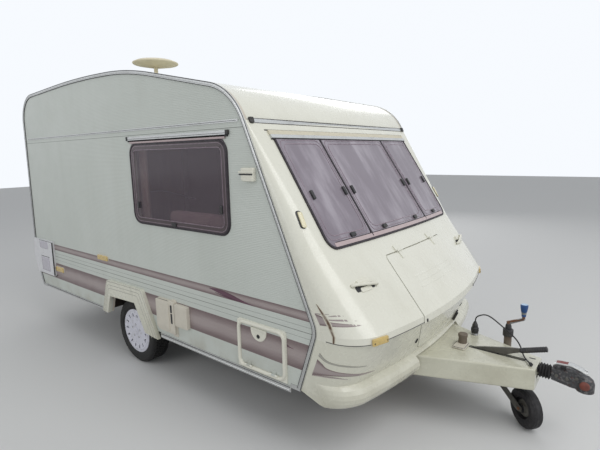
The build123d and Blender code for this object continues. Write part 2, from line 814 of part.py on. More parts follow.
# Drawbar cover: moulded shell from a wide rear section to a narrow nose.
# x, half width at the top, half width at the foot, corner radius at the top.
cover_sections = [(cover_rear_x, 350.0, 366.0, 12.0), (cover_front_x, 98.0, 104.0, 12.0)]


def cover_loft(inset):
    """Solid of the drawbar cover, its faces moved in by an inset."""
    faces = []
    for x, top_half, foot_half, radius in cover_sections:
        end = inset if x == cover_front_x else 0.0
        with BuildSketch(Plane.YZ.offset(sta(x) - end)) as section:
            with BuildLine():
                Polyline(
                    (-top_half + inset, cover_top_z - inset), (top_half - inset, cover_top_z - inset),
                    (foot_half - inset, cover_low_z), (-foot_half + inset, cover_low_z), close=True,
                )
            make_face()
            fillet(section.vertices().group_by(Axis.Z)[-1], radius)
        faces.append(section.sketch)
    with BuildPart(mode=Mode.PRIVATE) as body:
        loft(faces, ruled=True)
    return body.part


with BuildPart() as drawbar_cover:
    add(cover_loft(0))
    add(cover_loft(cover_wall), mode=Mode.SUBTRACT)
    with BuildSketch(Plane.XY.offset(cover_top_z)):
        with Locations((sta((slot_rear_x + slot_front_x) / 2), 0)):
            SlotOverall(slot_front_x - slot_rear_x, 22)
    extrude(amount=20, both=True, mode=Mode.SUBTRACT)
    with Locations((sta(cover_front_x - 5), 0, shaft_z - 10)):
        Box(30, 100, 80, mode=Mode.SUBTRACT)
drawbar_cover.part.label = "drawbar_cover"
export_step(drawbar_cover.part, "parts/drawbar_cover.step")

# Overrun housing and sliding shaft on the nose of the drawbar.
housing_radius = shaft_z - chassis_top - seat
bellows_rear_x = 3042.0
bellows_front_x = 3106.0
with BuildPart() as overrun_housing:
    with BuildSketch(Plane.YZ.offset(sta(nose_x - 150))):
        with Locations((0, shaft_z)):
            Circle(housing_radius)
    extrude(amount=cover_front_x + 6 - nose_x + 150)
    with BuildSketch(Plane.YZ.offset(sta(nose_x - 150))):
        with Locations((0, chassis_top + 1)):
            Rectangle(110, 2)
    extrude(amount=140)
    with BuildSketch(Plane.YZ.offset(sta(bellows_rear_x - 10))):
        with Locations((0, shaft_z)):
            Circle(shaft_radius)
    extrude(amount=bellows_front_x + 30 - bellows_rear_x)
overrun_housing.part.label = "overrun_housing"
export_step(overrun_housing.part, "parts/overrun_housing.step")

# Rubber bellows over the shaft: folds cut from one ring.
fold_count = 4
fold_pitch = (bellows_front_x - bellows_rear_x) / fold_count
with BuildPart() as bellows:
    with BuildSketch(Plane.XZ):
        with BuildLine():
            foot = shaft_z + shaft_radius + seat
            crest = [(sta(bellows_rear_x), foot), (sta(bellows_rear_x), shaft_z + 38)]
            for i in range(fold_count):
                crest.append((sta(bellows_rear_x + (i + 0.5) * fold_pitch), shaft_z + 48))
                crest.append((sta(bellows_rear_x + (i + 1.0) * fold_pitch), shaft_z + 38))
            crest.append((sta(bellows_front_x), foot))
            Polyline(*crest, close=True)
        make_face()
    revolve(axis=Axis((0, 0, shaft_z), (1, 0, 0)))
bellows.part.label = "coupling_bellows"
export_step(bellows.part, "parts/coupling_bellows.step")

# Coupling head: cast body, domed ball cup and lifting handle.
with BuildPart() as coupling_head:
    with BuildSketch(Plane.XZ):
        with BuildLine():
            Polyline(
                (sta(3112), 424), (sta(3112), 496), (sta(3220), 500), (sta(ball_x), 480),
                (sta(ball_x), 404),
                (sta(3220), 404), close=True,
            )
        make_face()
    extrude(amount=32, both=True)
    with BuildSketch(Plane.XZ):
        with BuildLine():
            Polyline(
                (sta(ball_x), ball_z - 34), (sta(ball_x) + head_radius, ball_z - 34),
                (sta(ball_x) + head_radius, ball_z + 16), (sta(ball_x) + head_radius - 8, ball_z + 40),
                (sta(ball_x) + head_radius - 26, ball_z + 56), (sta(ball_x), ball_z + 56), close=True,
            )
        make_face()
    revolve(axis=Axis((sta(ball_x), 0, 0), (0, 0, 1)))
    with BuildSketch(Plane.XZ):
        with BuildLine():
            x0 = sta(ball_x)
            x1 = x0 + socket_radius
            Line((x0, ball_z - 60), (x1, ball_z - 60))
            Line((x1, ball_z - 60), (x1, ball_z))
            RadiusArc((x1, ball_z), (x0, ball_z + socket_radius), -socket_radius)
            Line((x0, ball_z + socket_radius), (x0, ball_z - 60))
        make_face()
    revolve(axis=Axis((sta(ball_x), 0, 0), (0, 0, 1)), mode=Mode.SUBTRACT)
    with BuildSketch(Plane.YZ.offset(sta(3100))):
        with Locations((0, shaft_z)):
            Circle(shaft_radius + seat)
    extrude(amount=60, mode=Mode.SUBTRACT)
    with BuildSketch(Plane.XZ):
        with BuildLine():
            Polyline(
                (sta(3118), 503), (sta(3122), 520), (sta(3140), 532), (sta(3215), 536), (sta(3275), 516),
                (sta(3272), 508), (sta(3213), 527), (sta(3144), 523), (sta(3130), 514), (sta(3128), 504),
                close=True,
            )
        make_face()
    extrude(amount=26, both=True)
    with BuildSketch(Plane.XZ):
        with BuildLine():
            Polyline((sta(3155), 490), (sta(3155), 528), (sta(3185), 530), (sta(3185), 490), close=True)
        make_face()
    extrude(amount=8, both=True)
coupling_head.part.label = "coupling_head"
export_step(coupling_head.part, "parts/coupling_head.step")

# Handbrake lever, lying forward through the slot of the cover.
with BuildPart() as handbrake_lever:
    with BuildSketch(Plane.XZ):
        with BuildLine():
            Polyline(
                (sta(2725), chassis_top + seat), (sta(2725), 480), (sta(2790), 512), (sta(2930), 558),
                (sta(2936), 540), (sta(2800), 492), (sta(2770), chassis_top + seat), close=True,
            )
        make_face()
    extrude(amount=6, both=True)
    with BuildSketch(Plane(origin=(sta(2925), 0, 547), x_dir=(0, 1, 0), z_dir=(155, 0, 52))):
        Circle(15)
    extrude(amount=160)
handbrake_lever.part.label = "handbrake_lever"
export_step(handbrake_lever.part, "parts/handbrake_lever.step")

# Jockey wheel: clamp and outer tube on the drawbar, fork and wheel below.
member_y = nose_y + drawbar_slope * (nose_x - jockey_x)
with BuildPart() as jockey_clamp:
    with BuildSketch(Plane.XY.offset(chassis_low - 45)):
        with Locations((sta(jockey_x), jockey_y)):
            Circle(jockey_tube_radius + 9)
        with BuildLine():
            Polyline(
                (sta(jockey_x - 30), member_y - 40), (sta(jockey_x + 30), member_y - 60),
                (sta(jockey_x + 20), jockey_y), (sta(jockey_x - 20), jockey_y), close=True,
            )
        make_face()
        with Locations((sta(jockey_x), jockey_y)):
            Circle(jockey_tube_radius + seat, mode=Mode.SUBTRACT)
    extrude(amount=45 - seat)
jockey_clamp.part.label = "jockey_clamp"
export_step(jockey_clamp.part, "parts/jockey_clamp.step")

# The crank arm rises from above the cap to the foot of the grip.
crank_low = jockey_tube_top + 88.0
crank_high = crank_low + 58.0
with BuildPart() as jockey_tube:
    with BuildSketch(Plane.XY.offset(jockey_tube_low)):
        with Locations((sta(jockey_x), jockey_y)):
            Circle(jockey_tube_radius)
            Circle(jockey_tube_radius - 3, mode=Mode.SUBTRACT)
    extrude(amount=jockey_tube_top - jockey_tube_low)
    with BuildSketch(Plane.XY.offset(jockey_tube_top)):
        with Locations((sta(jockey_x), jockey_y)):
            Circle(33)
    extrude(amount=46)
    with BuildSketch(Plane.XY.offset(jockey_tube_top + 46)):
        with Locations((sta(jockey_x), jockey_y)):
            Circle(21)
    extrude(amount=46, taper=12)
    with BuildSketch(Plane.XZ.offset(-jockey_y)):
        with BuildLine():
            Polyline(
                (sta(jockey_x - 10), crank_low), (sta(jockey_x + 12), crank_low),
                (sta(jockey_x + crank_reach + 9), crank_high - 11),
                (sta(jockey_x + crank_reach + 9), crank_high),
                (sta(jockey_x + crank_reach - 9), crank_high), (sta(jockey_x - 10), crank_low + 12),
                close=True,
            )
        make_face()
    extrude(amount=9, both=True)
    with BuildSketch(Plane.XY.offset(crank_high - 2)):
        with Locations((sta(jockey_x + crank_reach), jockey_y)):
            Circle(9)
    extrude(amount=18)
    with BuildSketch(Plane.XY.offset(crank_high + 14)):
        with Locations((sta(jockey_x + crank_reach), jockey_y)):
            Circle(13)
    extrude(amount=84, taper=-7)
jockey_tube.part.label = "jockey_tube"
export_step(jockey_tube.part, "parts/jockey_tube.step")

jockey_dir = (cos(radians(jockey_turn)), sin(radians(jockey_turn)))
jockey_plane = Plane(origin=(sta(jockey_x), jockey_y, 0), x_dir=(jockey_dir[0], jockey_dir[1], 0),
                     z_dir=(0, 0, 1))
fork_gap = jockey_width / 2 + 8
with BuildPart() as fork_form:
    with BuildSketch(Plane.XY.offset(190)):
        Circle(jockey_tube_radius - 3 - seat)
    extrude(amount=160)
    for side in (-1, 1):
        with BuildSketch(Plane.XZ.offset(-side * (fork_gap + 3))):
            with BuildLine():
                Polyline(
                    (-26, 226), (-26, 190), (jockey_trail - 20, jockey_radius - 24),
                    (jockey_trail + 22, jockey_radius - 14),
                    (jockey_trail + 22, jockey_radius + 14), (24, 226), close=True,
                )
            make_face()
        extrude(amount=3, both=True)
    with BuildSketch(Plane.XZ):
        with BuildLine():
            Polyline((-26, 220), (-26, 190), (-20, 190), (-20, 220), (24, 220), (24, 226), (-26, 226),
                     close=True)
        make_face()
    extrude(amount=fork_gap + 6, both=True)
    with BuildSketch(Plane.XZ):
        with Locations((jockey_trail, jockey_radius)):
            Circle(8)
    extrude(amount=fork_gap + 12, both=True)

with BuildPart() as jockey_tyre_form:
    with BuildSketch(Plane.XZ):
        with BuildLine():
            w = jockey_width / 2
            Polyline(
                (8 + seat, -w), (30, -w), (34, -16), (66, -12), (72, -w + 6), (jockey_radius - 22, -w),
                (jockey_radius - 6, -w + 12), (jockey_radius, -12), (jockey_radius, 12),
                (jockey_radius - 6, w - 12),
                (jockey_radius - 22, w), (72, w - 6), (66, 12), (34, 16), (30, w), (8 + seat, w),
                close=True,
            )
        make_face()
    revolve(axis=Axis.Z)

with BuildPart(jockey_plane) as jockey_fork:
    add(fork_form.part)
jockey_fork.part.label = "jockey_fork"
export_step(jockey_fork.part, "parts/jockey_fork.step")

wheel_centre = (
    sta(jockey_x) + jockey_trail * jockey_dir[0], jockey_y + jockey_trail * jockey_dir[1], jockey_radius,
)
wheel_plane = Plane(origin=wheel_centre, x_dir=(*jockey_dir, 0), z_dir=(-jockey_dir[1], jockey_dir[0], 0))
with BuildPart(wheel_plane) as jockey_wheel:
    add(jockey_tyre_form.part)
jockey_wheel.part.label = "jockey_wheel"
export_step(jockey_wheel.part, "parts/jockey_wheel.step")

# Posts on the deck: x, y, length, width and shift across of the base, its height, radius, height.
post_table = [
    (post_x, 0.0, 80.0, 120.0, -35.0, 14.0, 28.0, post_height),
    (plug_x, plug_y, 44.0, 44.0, 0.0, 6.0, 17.0, park_height),
]
with BuildPart() as deck_posts:
    for x, y, base_length, base_width, shift, foot, radius, height in post_table:
        with BuildSketch(Plane.XY.offset(cover_top_z)):
            with Locations((sta(x), y + shift)):
                RectangleRounded(base_length, base_width, 10)
        extrude(amount=foot)
        with BuildSketch(Plane.XY.offset(cover_top_z)):
            with Locations((sta(x), y)):
                Circle(radius)
        extrude(amount=height)
    gland = Plane(
        origin=(sta(lead_points[-1][0]), *lead_points[-1][1:]),
        z_dir=Vector(*lead_points[-1]) - Vector(*lead_points[-2]),
    )
    with BuildSketch(gland):
        Circle(10)
    extrude(amount=16)
    gland_foot = gland.from_local_coords((0, 0, 8))
    with BuildSketch(Plane.XY.offset(cover_top_z)):
        with Locations((gland_foot.X, gland_foot.Y)):
            Circle(7)
    extrude(amount=10)
deck_posts.part.label = "deck_posts"
export_step(deck_posts.part, "parts/deck_posts.step")

with BuildPart() as tow_plug:
    with BuildSketch(Plane.XZ.offset(-plug_y)):
        with BuildLine():
            Polyline(
                (sta(plug_x), plug_low), (sta(plug_x) + 25, plug_low), (sta(plug_x) + 25, plug_low + 38),
                (sta(plug_x) + 21, plug_low + 43), (sta(plug_x) + 19, plug_top - 24),
                (sta(plug_x) + 9, plug_top),
                (sta(plug_x), plug_top), close=True,
            )
        make_face()
    revolve(axis=Axis((sta(plug_x), plug_y, 0), (0, 0, 1)))
tow_plug.part.label = "tow_plug"
export_step(tow_plug.part, "parts/tow_plug.step")


def cord_part(points, diameter):
    """Tube along straight runs joined by arcs as large as the runs allow, and its arc radii."""
    route = [Vector(sta(x), y, z) for x, y, z in points]
    radii = []
    for before, corner, after in zip(route, route[1:], route[2:]):
        turn = (corner - before).get_angle(after - corner)
        radii.append(0.45 * min((corner - before).length, (after - corner).length) / tan(radians(turn / 2)))
    with BuildPart(mode=Mode.PRIVATE) as tube:
        with BuildLine():
            path = FilletPolyline(*route, radius=radii)
        with BuildSketch(Plane(origin=path @ 0, z_dir=path % 0)):
            Circle(diameter / 2)
        sweep()
    print("cord length", round(path.length), "radii", [round(r) for r in radii])
    print("volume over section times length", tube.part.volume / (pi * diameter**2 / 4 * path.length))
    return tube.part


with BuildPart() as tow_lead:
    add(cord_part(lead_points, lead_diameter))
tow_lead.part.label = "tow_lead"
export_step(tow_lead.part, "parts/tow_lead.step")

# Television aerial and rooflight.
aerial_x = 228.0
aerial_y = -750.0


def roof_z(x):
    """Height of the roof's skin at a station."""
    plumb = Edge.make_line((sta(x), roof_height - 300, 0), (sta(x), roof_height + 100, 0))
    return max(v.Y for v in (plumb & outline.sketch.face()).vertices())


with BuildPart() as aerial:
    with BuildSketch(Plane.XY.offset(roof_z(aerial_x) - 6)):
        with Locations((sta(aerial_x), aerial_y)):
            Circle(34)
    extrude(amount=14)
    with BuildSketch(Plane.XZ):
        add(outline.sketch)
    extrude(amount=half, both=True, mode=Mode.SUBTRACT)
    with BuildSketch(Plane.XY.offset(roof_z(aerial_x) + 8)):
        with Locations((sta(aerial_x), aerial_y)):
            Circle(16)
    extrude(amount=70)
    with BuildSketch(Plane.XZ.offset(-aerial_y)):
        with BuildLine():
            base = roof_z(aerial_x) + 72
            x0 = sta(aerial_x)
            Polyline(
                (x0, base), (x0 + 60, base), (x0 + 178, base + 24), (x0 + 178, base + 34),
                (x0 + 150, base + 46),
                (x0, base + 56), close=True,
            )
        make_face()
    revolve(axis=Axis((sta(aerial_x), aerial_y, 0), (0, 0, 1)))
aerial.part.label = "tv_aerial"
export_step(aerial.part, "parts/tv_aerial.step")

with BuildPart() as rooflight:
    with BuildSketch(Plane.XY.offset(roof_z(rooflight_x) + 2)):
        with Locations((sta(rooflight_x), 0)):
            RectangleRounded(rooflight_size, rooflight_size, 50)
    extrude(amount=48, taper=12)
    with BuildSketch(Plane.XY.offset(roof_z(rooflight_x) - 6)):
        with Locations((sta(rooflight_x), 0)):
            RectangleRounded(rooflight_size + 50, rooflight_size + 50, 60)
    extrude(amount=10)
    with BuildSketch(Plane.XZ):
        add(outline.sketch)
    extrude(amount=half, both=True, mode=Mode.SUBTRACT)
rooflight.part.label = "rooflight"
export_step(rooflight.part, "parts/rooflight.step")

# Furniture that shows through the glass: bench seats, chest and kitchen.
floor_z = sill_z + floor_thickness
bench_x = 560.0
bench_length = 1320.0
bench_y = 480.0
bench_top_z = 790.0
cushion = 100.0
wall_face = half - wall
with BuildPart() as bench_boxes:
    for side in (-1, 1):
        with BuildSketch(Plane.YZ.offset(sta(bench_x))):
            with BuildLine():
                Polyline(
                    (side * (bench_y + 20), floor_z), (side * (bench_y + 20), bench_top_z),
                    (side * wall_face, bench_top_z),
                    (side * wall_face, bench_top_z - 15), (side * (bench_y + 35), bench_top_z - 15),
                    (side * (bench_y + 35), floor_z), close=True,
                )
            make_face()
        extrude(amount=bench_length)
bench_boxes.part.label = "bench_boxes"
export_step(bench_boxes.part, "parts/bench_boxes.step")

with BuildPart() as bench_cushions:
    for side in (-1, 1):
        with BuildSketch(Plane.YZ.offset(sta(bench_x))):
            with BuildLine():
                Polyline(
                    (side * bench_y, bench_top_z + seat), (side * bench_y, bench_top_z + cushion),
                    (side * 880, bench_top_z + cushion), (side * 920, 1240), (side * (wall_face - 5), 1240),
                    (side * (wall_face - 5), bench_top_z + seat), close=True,
                )
            make_face()
        extrude(amount=bench_length)
bench_cushions.part.label = "bench_cushions"
export_step(bench_cushions.part, "parts/bench_cushions.step")

kitchen_x = 60.0
kitchen_length = 820.0
kitchen_depth = 520.0
kitchen_top_z = 1290.0
with BuildPart() as kitchen_unit:
    kitchen_low = box_top_z + seat
    kitchen_y = wall_face - kitchen_depth / 2
    with Locations((sta(kitchen_x), kitchen_y, (kitchen_low + kitchen_top_z) / 2)):
        Box(kitchen_length, kitchen_depth, kitchen_top_z - kitchen_low)
    with Locations((sta(kitchen_x + kitchen_length / 2 - 45), kitchen_y, (floor_z + kitchen_low + 20) / 2)):
        Box(90, kitchen_depth, kitchen_low + 20 - floor_z)
    with Locations((sta(kitchen_x), kitchen_y + 15, (kitchen_low + kitchen_top_z) / 2 - 10)):
        Box(kitchen_length - 30, kitchen_depth, kitchen_top_z - kitchen_low - 20, mode=Mode.SUBTRACT)
kitchen_unit.part.label = "kitchen_unit"
export_step(kitchen_unit.part, "parts/kitchen_unit.step")

washroom_x = -1170.0
washroom_top = 2400.0
washroom_near_y = 460.0
with BuildPart() as washroom_wall:
    with BuildSketch(Plane.YZ.offset(sta(washroom_x))):
        with Locations(((washroom_near_y - wall_face + seat) / 2, (floor_z + washroom_top) / 2)):
            Rectangle(washroom_near_y + wall_face - seat, washroom_top - floor_z)
    extrude(amount=18)
washroom_wall.part.label = "washroom_wall"
export_step(washroom_wall.part, "parts/washroom_wall.step")

# Entry door: hollow-cored leaf with its window opening, hinges and handle.
with BuildPart() as entry_door:
    with BuildSketch(wall_plane(1)):
        with Locations((sta(door_x), door_bottom + door_height / 2)):
            RectangleRounded(door_width, door_height, door_radius)
        with Locations((sta(door_x), door_pane_z)):
            RectangleRounded(door_pane_width - 40, door_pane_height - 40, 40, mode=Mode.SUBTRACT)
    extrude(amount=wall)
    for place in door_hinges:
        add(place * hinge_form(False, 48, hinge_drop + 1))
    with Locations((sta(door_x - door_width / 2 + 70), half + 9, 1150)):
        Box(60, 20, 130)
    with Locations((sta(door_x - door_width / 2 + 70), half + 12, 1150)):
        Box(44, 18, 60, mode=Mode.SUBTRACT)
entry_door.part.label = "entry_door"
export_step(entry_door.part, "parts/entry_door.step")

with BuildPart() as door_window:
    with BuildSketch(Plane.XZ.offset(-half - seat - pane)):
        with Locations((sta(door_x), door_pane_z)):
            RectangleRounded(door_pane_width, door_pane_height, 50)
    extrude(amount=pane)
door_window.part.label = "door_window"
export_step(door_window.part, "parts/door_window.step")

# Service locker: fixed rim and hinged hatch.
with BuildPart() as locker_rim_part:
    with BuildSketch(Plane.XZ.offset(half)) as rim_shape:
        with Locations((sta(locker_x), locker_z)):
            Rectangle(locker_width, locker_height)
        fillet(rim_shape.vertices().sort_by(Axis.Y)[-2:], 24)
        with Locations((sta(locker_x), locker_z)):
            Rectangle(locker_width - 2 * locker_rim + 2 * hatch_gap,
                      locker_height - 2 * locker_rim + 2 * hatch_gap,
                      mode=Mode.SUBTRACT)
    extrude(amount=locker_rim_depth)
locker_rim_part.part.label = "service_locker_rim"
export_step(locker_rim_part.part, "parts/service_locker_rim.step")

with BuildPart() as service_locker_door:
    with BuildSketch(wall_plane(-1)):
        with Locations((sta(locker_x), locker_z)):
            Rectangle(locker_width - 2 * locker_rim, locker_height - 2 * locker_rim)
    extrude(amount=wall + locker_rim_depth)
    for place in hatch_hinges:
        add(place * hinge_form(False, 26, hinge_drop + 1))
service_locker_door.part.label = "service_locker_door"
export_step(service_locker_door.part, "parts/service_locker_door.step")

# Corner steadies: a bracket under the floor and a folding leg at each corner.
with BuildPart() as steady_brackets:
    for name, x, side, way in steady_table:
        with Locations((sta(x) + way * steady_length / 2, side * steady_y, sill_z - 4)):
            Box(steady_length + 60, 90, 8)
        for flank in (-1, 1):
            cheek_y = side * steady_y + flank * (steady_width / 2 + 3 + seat)
            with Locations((sta(x), cheek_y, steady_pivot_z + 22)):
                Box(40, 6, 68)
        with BuildSketch(Plane.XZ.offset(-side * steady_y)):
            with Locations((sta(x), steady_pivot_z)):
                Circle(steady_pin)
        extrude(amount=steady_width / 2 + 4, both=True)
steady_brackets.part.label = "steady_brackets"
export_step(steady_brackets.part, "parts/steady_brackets.step")

for name, x, side, way in steady_table:
    with BuildPart() as leg:
        with BuildSketch(Plane.XZ.offset(-side * steady_y - steady_width / 2)):
            with BuildLine():
                Polyline(
                    (sta(x) - way * 14, steady_pivot_z - 14), (sta(x) - way * 14, steady_pivot_z + 14),
                    (sta(x) + way * steady_length, steady_pivot_z + 12),
                    (sta(x) + way * (steady_length + 6), steady_pivot_z - 16), close=True,
                )
            make_face()
            with Locations((sta(x), steady_pivot_z)):
                Circle(steady_pin + seat, mode=Mode.SUBTRACT)
        extrude(amount=steady_width)
    leg.part.label = name
    export_step(leg.part, f"parts/{name}.step")
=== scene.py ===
import math

import bmesh
import bpy
import numpy as np
from mathutils import Matrix, Vector


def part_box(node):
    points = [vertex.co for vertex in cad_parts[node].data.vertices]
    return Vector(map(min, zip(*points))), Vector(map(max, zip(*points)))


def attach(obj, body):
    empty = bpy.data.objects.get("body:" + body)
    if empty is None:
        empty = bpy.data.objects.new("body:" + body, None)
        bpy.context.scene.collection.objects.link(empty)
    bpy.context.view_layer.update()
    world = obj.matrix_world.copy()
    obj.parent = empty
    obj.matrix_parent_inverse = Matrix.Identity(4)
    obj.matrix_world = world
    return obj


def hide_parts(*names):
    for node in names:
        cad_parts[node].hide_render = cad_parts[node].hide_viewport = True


bl_info = {
    "name": "Travel Caravan Fittings",
    "version": (1, 0, 0),
    "blender": (4, 5, 0),
    "location": "View3D > Sidebar > Caravan",
    "description": "Finishes, trims and furnishes a touring caravan on its fixed frame",
    "category": "Object",
}

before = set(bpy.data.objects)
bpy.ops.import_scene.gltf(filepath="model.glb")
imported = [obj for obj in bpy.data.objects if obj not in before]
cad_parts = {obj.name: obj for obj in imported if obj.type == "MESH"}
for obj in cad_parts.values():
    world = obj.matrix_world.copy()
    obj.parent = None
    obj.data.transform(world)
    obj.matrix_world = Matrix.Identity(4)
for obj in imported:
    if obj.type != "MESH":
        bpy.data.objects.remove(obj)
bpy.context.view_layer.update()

# Places taken from the frame, in metres. Stations run forward from the axle.
AXLE = sum(corner.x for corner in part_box("offside_tyre")) / 2
HALF = -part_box("offside_wall")[0].y
TYRE_RADIUS = (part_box("offside_tyre")[1].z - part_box("offside_tyre")[0].z) / 2
DECK_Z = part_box("drawbar_cover")[1].z
FULL_TURN = 2 * math.pi

# Side outline: station, height and corner radius of each corner.
OUTLINE_CORNERS = np.array([
    (-1.766, 0.432), (-1.904, 0.775), (-1.872, 0.930), (-1.797, 2.472), (-0.500, 2.523),
    (0.322, 2.492), (1.476, 2.239), (2.081, 0.830), (1.950, 0.432),
])
OUTLINE_RADII = np.array([0.0, 0.045, 0.060, 0.285, 12.0, 3.5, 0.420, 0.140, 0.0])

# Front moulding: height, station of the corner, station of the middle, corner radius.
UPPER_FRONT = np.array([
    (0.785, 2.346, 2.506, 0.240), (0.830, 2.346, 2.501, 0.240), (1.260, 2.057, 2.112, 0.150),
    (2.042, 1.571, 1.577, 0.010),
])
LOWER_FRONT = np.array([(0.512, 2.222, 2.370, 0.218), (0.785, 2.331, 2.491, 0.230)])

# Door leaf and hatch: station, height, width, height. Windows: the same and a corner radius, but
# the front panes only their middle and width between two heights.
DOOR_LEAF = (-0.850, 1.246, 0.580, 1.552)
HATCH = (1.640, 0.608, 0.394, 0.304)
SIDE_WINDOW = (0.837, 1.635, 1.114, 0.630, 0.080)
REAR_WINDOW = (0.0, 1.560, 1.100, 0.520, 0.080)
DOOR_WINDOW = (-0.850, 1.700, 0.330, 0.460, 0.050)
FRONT_PANE_LOW, FRONT_PANE_HIGH = 1.305, 1.927
FRONT_PANES = ((0.0, 0.850), (-0.669, 0.440), (0.669, 0.440))


def paint(red, green, blue):
    """Linear colour of a paint given in the 0 to 255 values of a colour card."""
    card = np.array([red, green, blue]) / 255
    return tuple(float(c) for c in np.where(card <= 0.04045, card / 12.92, ((card + 0.055) / 1.055) ** 2.4))


def tone(name, description, *card):
    """Colour property whose default is a paint."""
    return bpy.props.FloatVectorProperty(name=name, description=description, subtype="COLOR", size=3,
                                         min=0, max=1, default=paint(*card))


class CaravanPaints(bpy.types.PropertyGroup):
    """Colours of the caravan's finishes."""

    wall: tone("Side wall", "Ribbed aluminium of the side walls", 196, 201, 194)
    shell: tone("Mouldings", "Ivory gel coat of the roof, front and rear", 224, 223, 210)
    stripe: tone("Stripe", "Middle tone of the stripes", 162, 150, 148)
    stripe_edge: tone("Stripe edge", "Dark tone along the edges of the stripes", 116, 100, 100)
    plum: tone("Plum stroke", "Darkest strokes laid over the stripes", 96, 62, 78)
    acrylic: tone("Acrylic", "Tinted acrylic of the panes", 112, 102, 110)
    cushion: tone("Cushion", "Cloth of the seat cushions", 196, 158, 158)
    curtain: tone("Curtain", "Cloth of the curtains", 205, 176, 164)


class CaravanSizes(bpy.types.PropertyGroup):
    """Sizes and counts of the caravan's fittings."""

    rib_pitch: bpy.props.FloatProperty(
        name="Rib pitch", description="Distance from rib to rib of the side walls", unit="LENGTH",
        min=0.004, max=0.05, default=0.011)
    seal_width: bpy.props.FloatProperty(
        name="Seal width", description="Width of the rubber round a window", unit="LENGTH",
        min=0.005, max=0.05, default=0.012)
    tread_blocks: bpy.props.IntProperty(
        name="Tread blocks", description="Blocks round each row of a road tyre", min=12, max=120, default=60)
    trim_bolts: bpy.props.IntProperty(
        name="Wheel bolts", description="Bolt heads round each wheel trim", min=3, max=8, default=5)
    curtain_folds: bpy.props.IntProperty(
        name="Curtain folds", description="Folds in each curtain", min=3, max=20, default=6)


finishes = {}


def paints():
    return bpy.context.scene.caravan_paints


def sizes():
    return bpy.context.scene.caravan_sizes


class Form:
    """Points and faces of one or more closed shells, kept as whole arrays."""

    def __init__(self, points, faces):
        self.points = np.asarray(points, float).reshape(-1, 3)
        self.faces = [np.asarray(f, int) for f in faces]

    def __add__(self, other):
        shift = len(self.points)
        return Form(np.vstack([self.points, other.points]), self.faces + [f + shift for f in other.faces])

    def copies(self, frames):
        """The form repeated by an array of 4 by 4 frames, each frame times the points."""
        frames = np.asarray(frames, float)
        turned = np.einsum("kij,nj->kni", frames[:, :3, :3], self.points) + frames[:, None, :3, 3]
        shift = np.arange(len(frames))[:, None, None] * len(self.points)
        return Form(turned.reshape(-1, 3), [(f[None] + shift).reshape(-1, f.shape[1]) for f in self.faces])


def grid(points, wrap_u=False, wrap_v=False, cap=False):
    """Quads between neighbours of a grid of points. Wrapping joins its last row or column to the
    first, and a cap closes each end row with one face."""
    points = np.asarray(points, float)
    rows, columns = points.shape[:2]
    index = np.arange(rows * columns).reshape(rows, columns)
    u = np.arange(rows if wrap_u else rows - 1)
    v = np.arange(columns if wrap_v else columns - 1)
    a = index[np.ix_(u, v)]
    b = index[np.ix_(u, (v + 1) % columns)]
    c = index[np.ix_((u + 1) % rows, (v + 1) % columns)]
    d = index[np.ix_((u + 1) % rows, v)]
    faces = [np.stack([a, b, c, d], -1).reshape(-1, 4)]
    if cap:
        faces += [index[:1, ::-1], index[-1:]]
    return Form(points.reshape(-1, 3), faces)


def rounded(corners, radii, steps=8):
    """Closed outline whose corners are arcs: each arc is tangent to both sides, its ends lie at the
    radius times the tangent of half the turn from the corner, and its points are evenly spaced."""
    corners = np.asarray(corners, float)
    radii = np.broadcast_to(np.asarray(radii, float), len(corners))
    ahead = np.roll(corners, -1, 0) - corners
    ahead /= np.linalg.norm(ahead, axis=1)[:, None]
    behind = np.roll(ahead, 1, 0)
    cross = behind[:, 0] * ahead[:, 1] - behind[:, 1] * ahead[:, 0]
    turn = np.arctan2(cross, (behind * ahead).sum(1))
    start = corners - behind * (np.abs(radii * np.tan(turn / 2)))[:, None]
    side = np.stack([-behind[:, 1], behind[:, 0]], 1) * np.sign(turn)[:, None]
    swing = np.abs(turn)[:, None] * np.linspace(0, 1, steps)[None]
    arc = (behind[:, None] * np.sin(swing)[..., None] + side[:, None] * (1 - np.cos(swing))[..., None])
    return (start[:, None] + radii[:, None, None] * arc).reshape(-1, 2)


def rounded_box(u, v, width, height, radius, steps=8):
    """Rounded rectangle about a middle point, counterclockwise."""
    w, h = width / 2, height / 2
    corners = [(u - w, v - h), (u + w, v - h), (u + w, v + h), (u - w, v + h)]
    return rounded(corners, radius, steps)


def outward(outline, closed=True):
    """Unit normals of a counterclockwise outline, square to the chord between each point's
    neighbours and lengthened at a corner so that an offset keeps its width."""
    after, before = np.roll(outline, -1, 0), np.roll(outline, 1, 0)
    if not closed:
        after[-1], before[0] = outline[-1], outline[0]
    one, two = outline - before, after - outline
    one, two = (np.where(np.linalg.norm(e, axis=1)[:, None] < 1e-9, other, e) for e, other in
                ((one, two), (two, one)))
    one /= np.linalg.norm(one, axis=1)[:, None]
    two /= np.linalg.norm(two, axis=1)[:, None]
    middle = one + two
    middle /= np.linalg.norm(middle, axis=1)[:, None]
    stretch = 1 / np.maximum((middle * two).sum(1), 0.5)
    return np.stack([middle[:, 1], -middle[:, 0]], 1) * stretch[:, None]


def strip(outline, profile, surface, closed=True):
    """A profile of (outward offset, height) pairs carried along an outline that lies on a surface."""
    profile = np.asarray(profile, float)
    normal = outward(outline, closed)
    flat = outline[:, None] + normal[:, None] * profile[None, :, :1]
    height = np.broadcast_to(profile[None, :, 1], flat.shape[:2])
    return grid(surface(flat[..., 0], flat[..., 1], height), wrap_u=closed, wrap_v=True, cap=not closed)


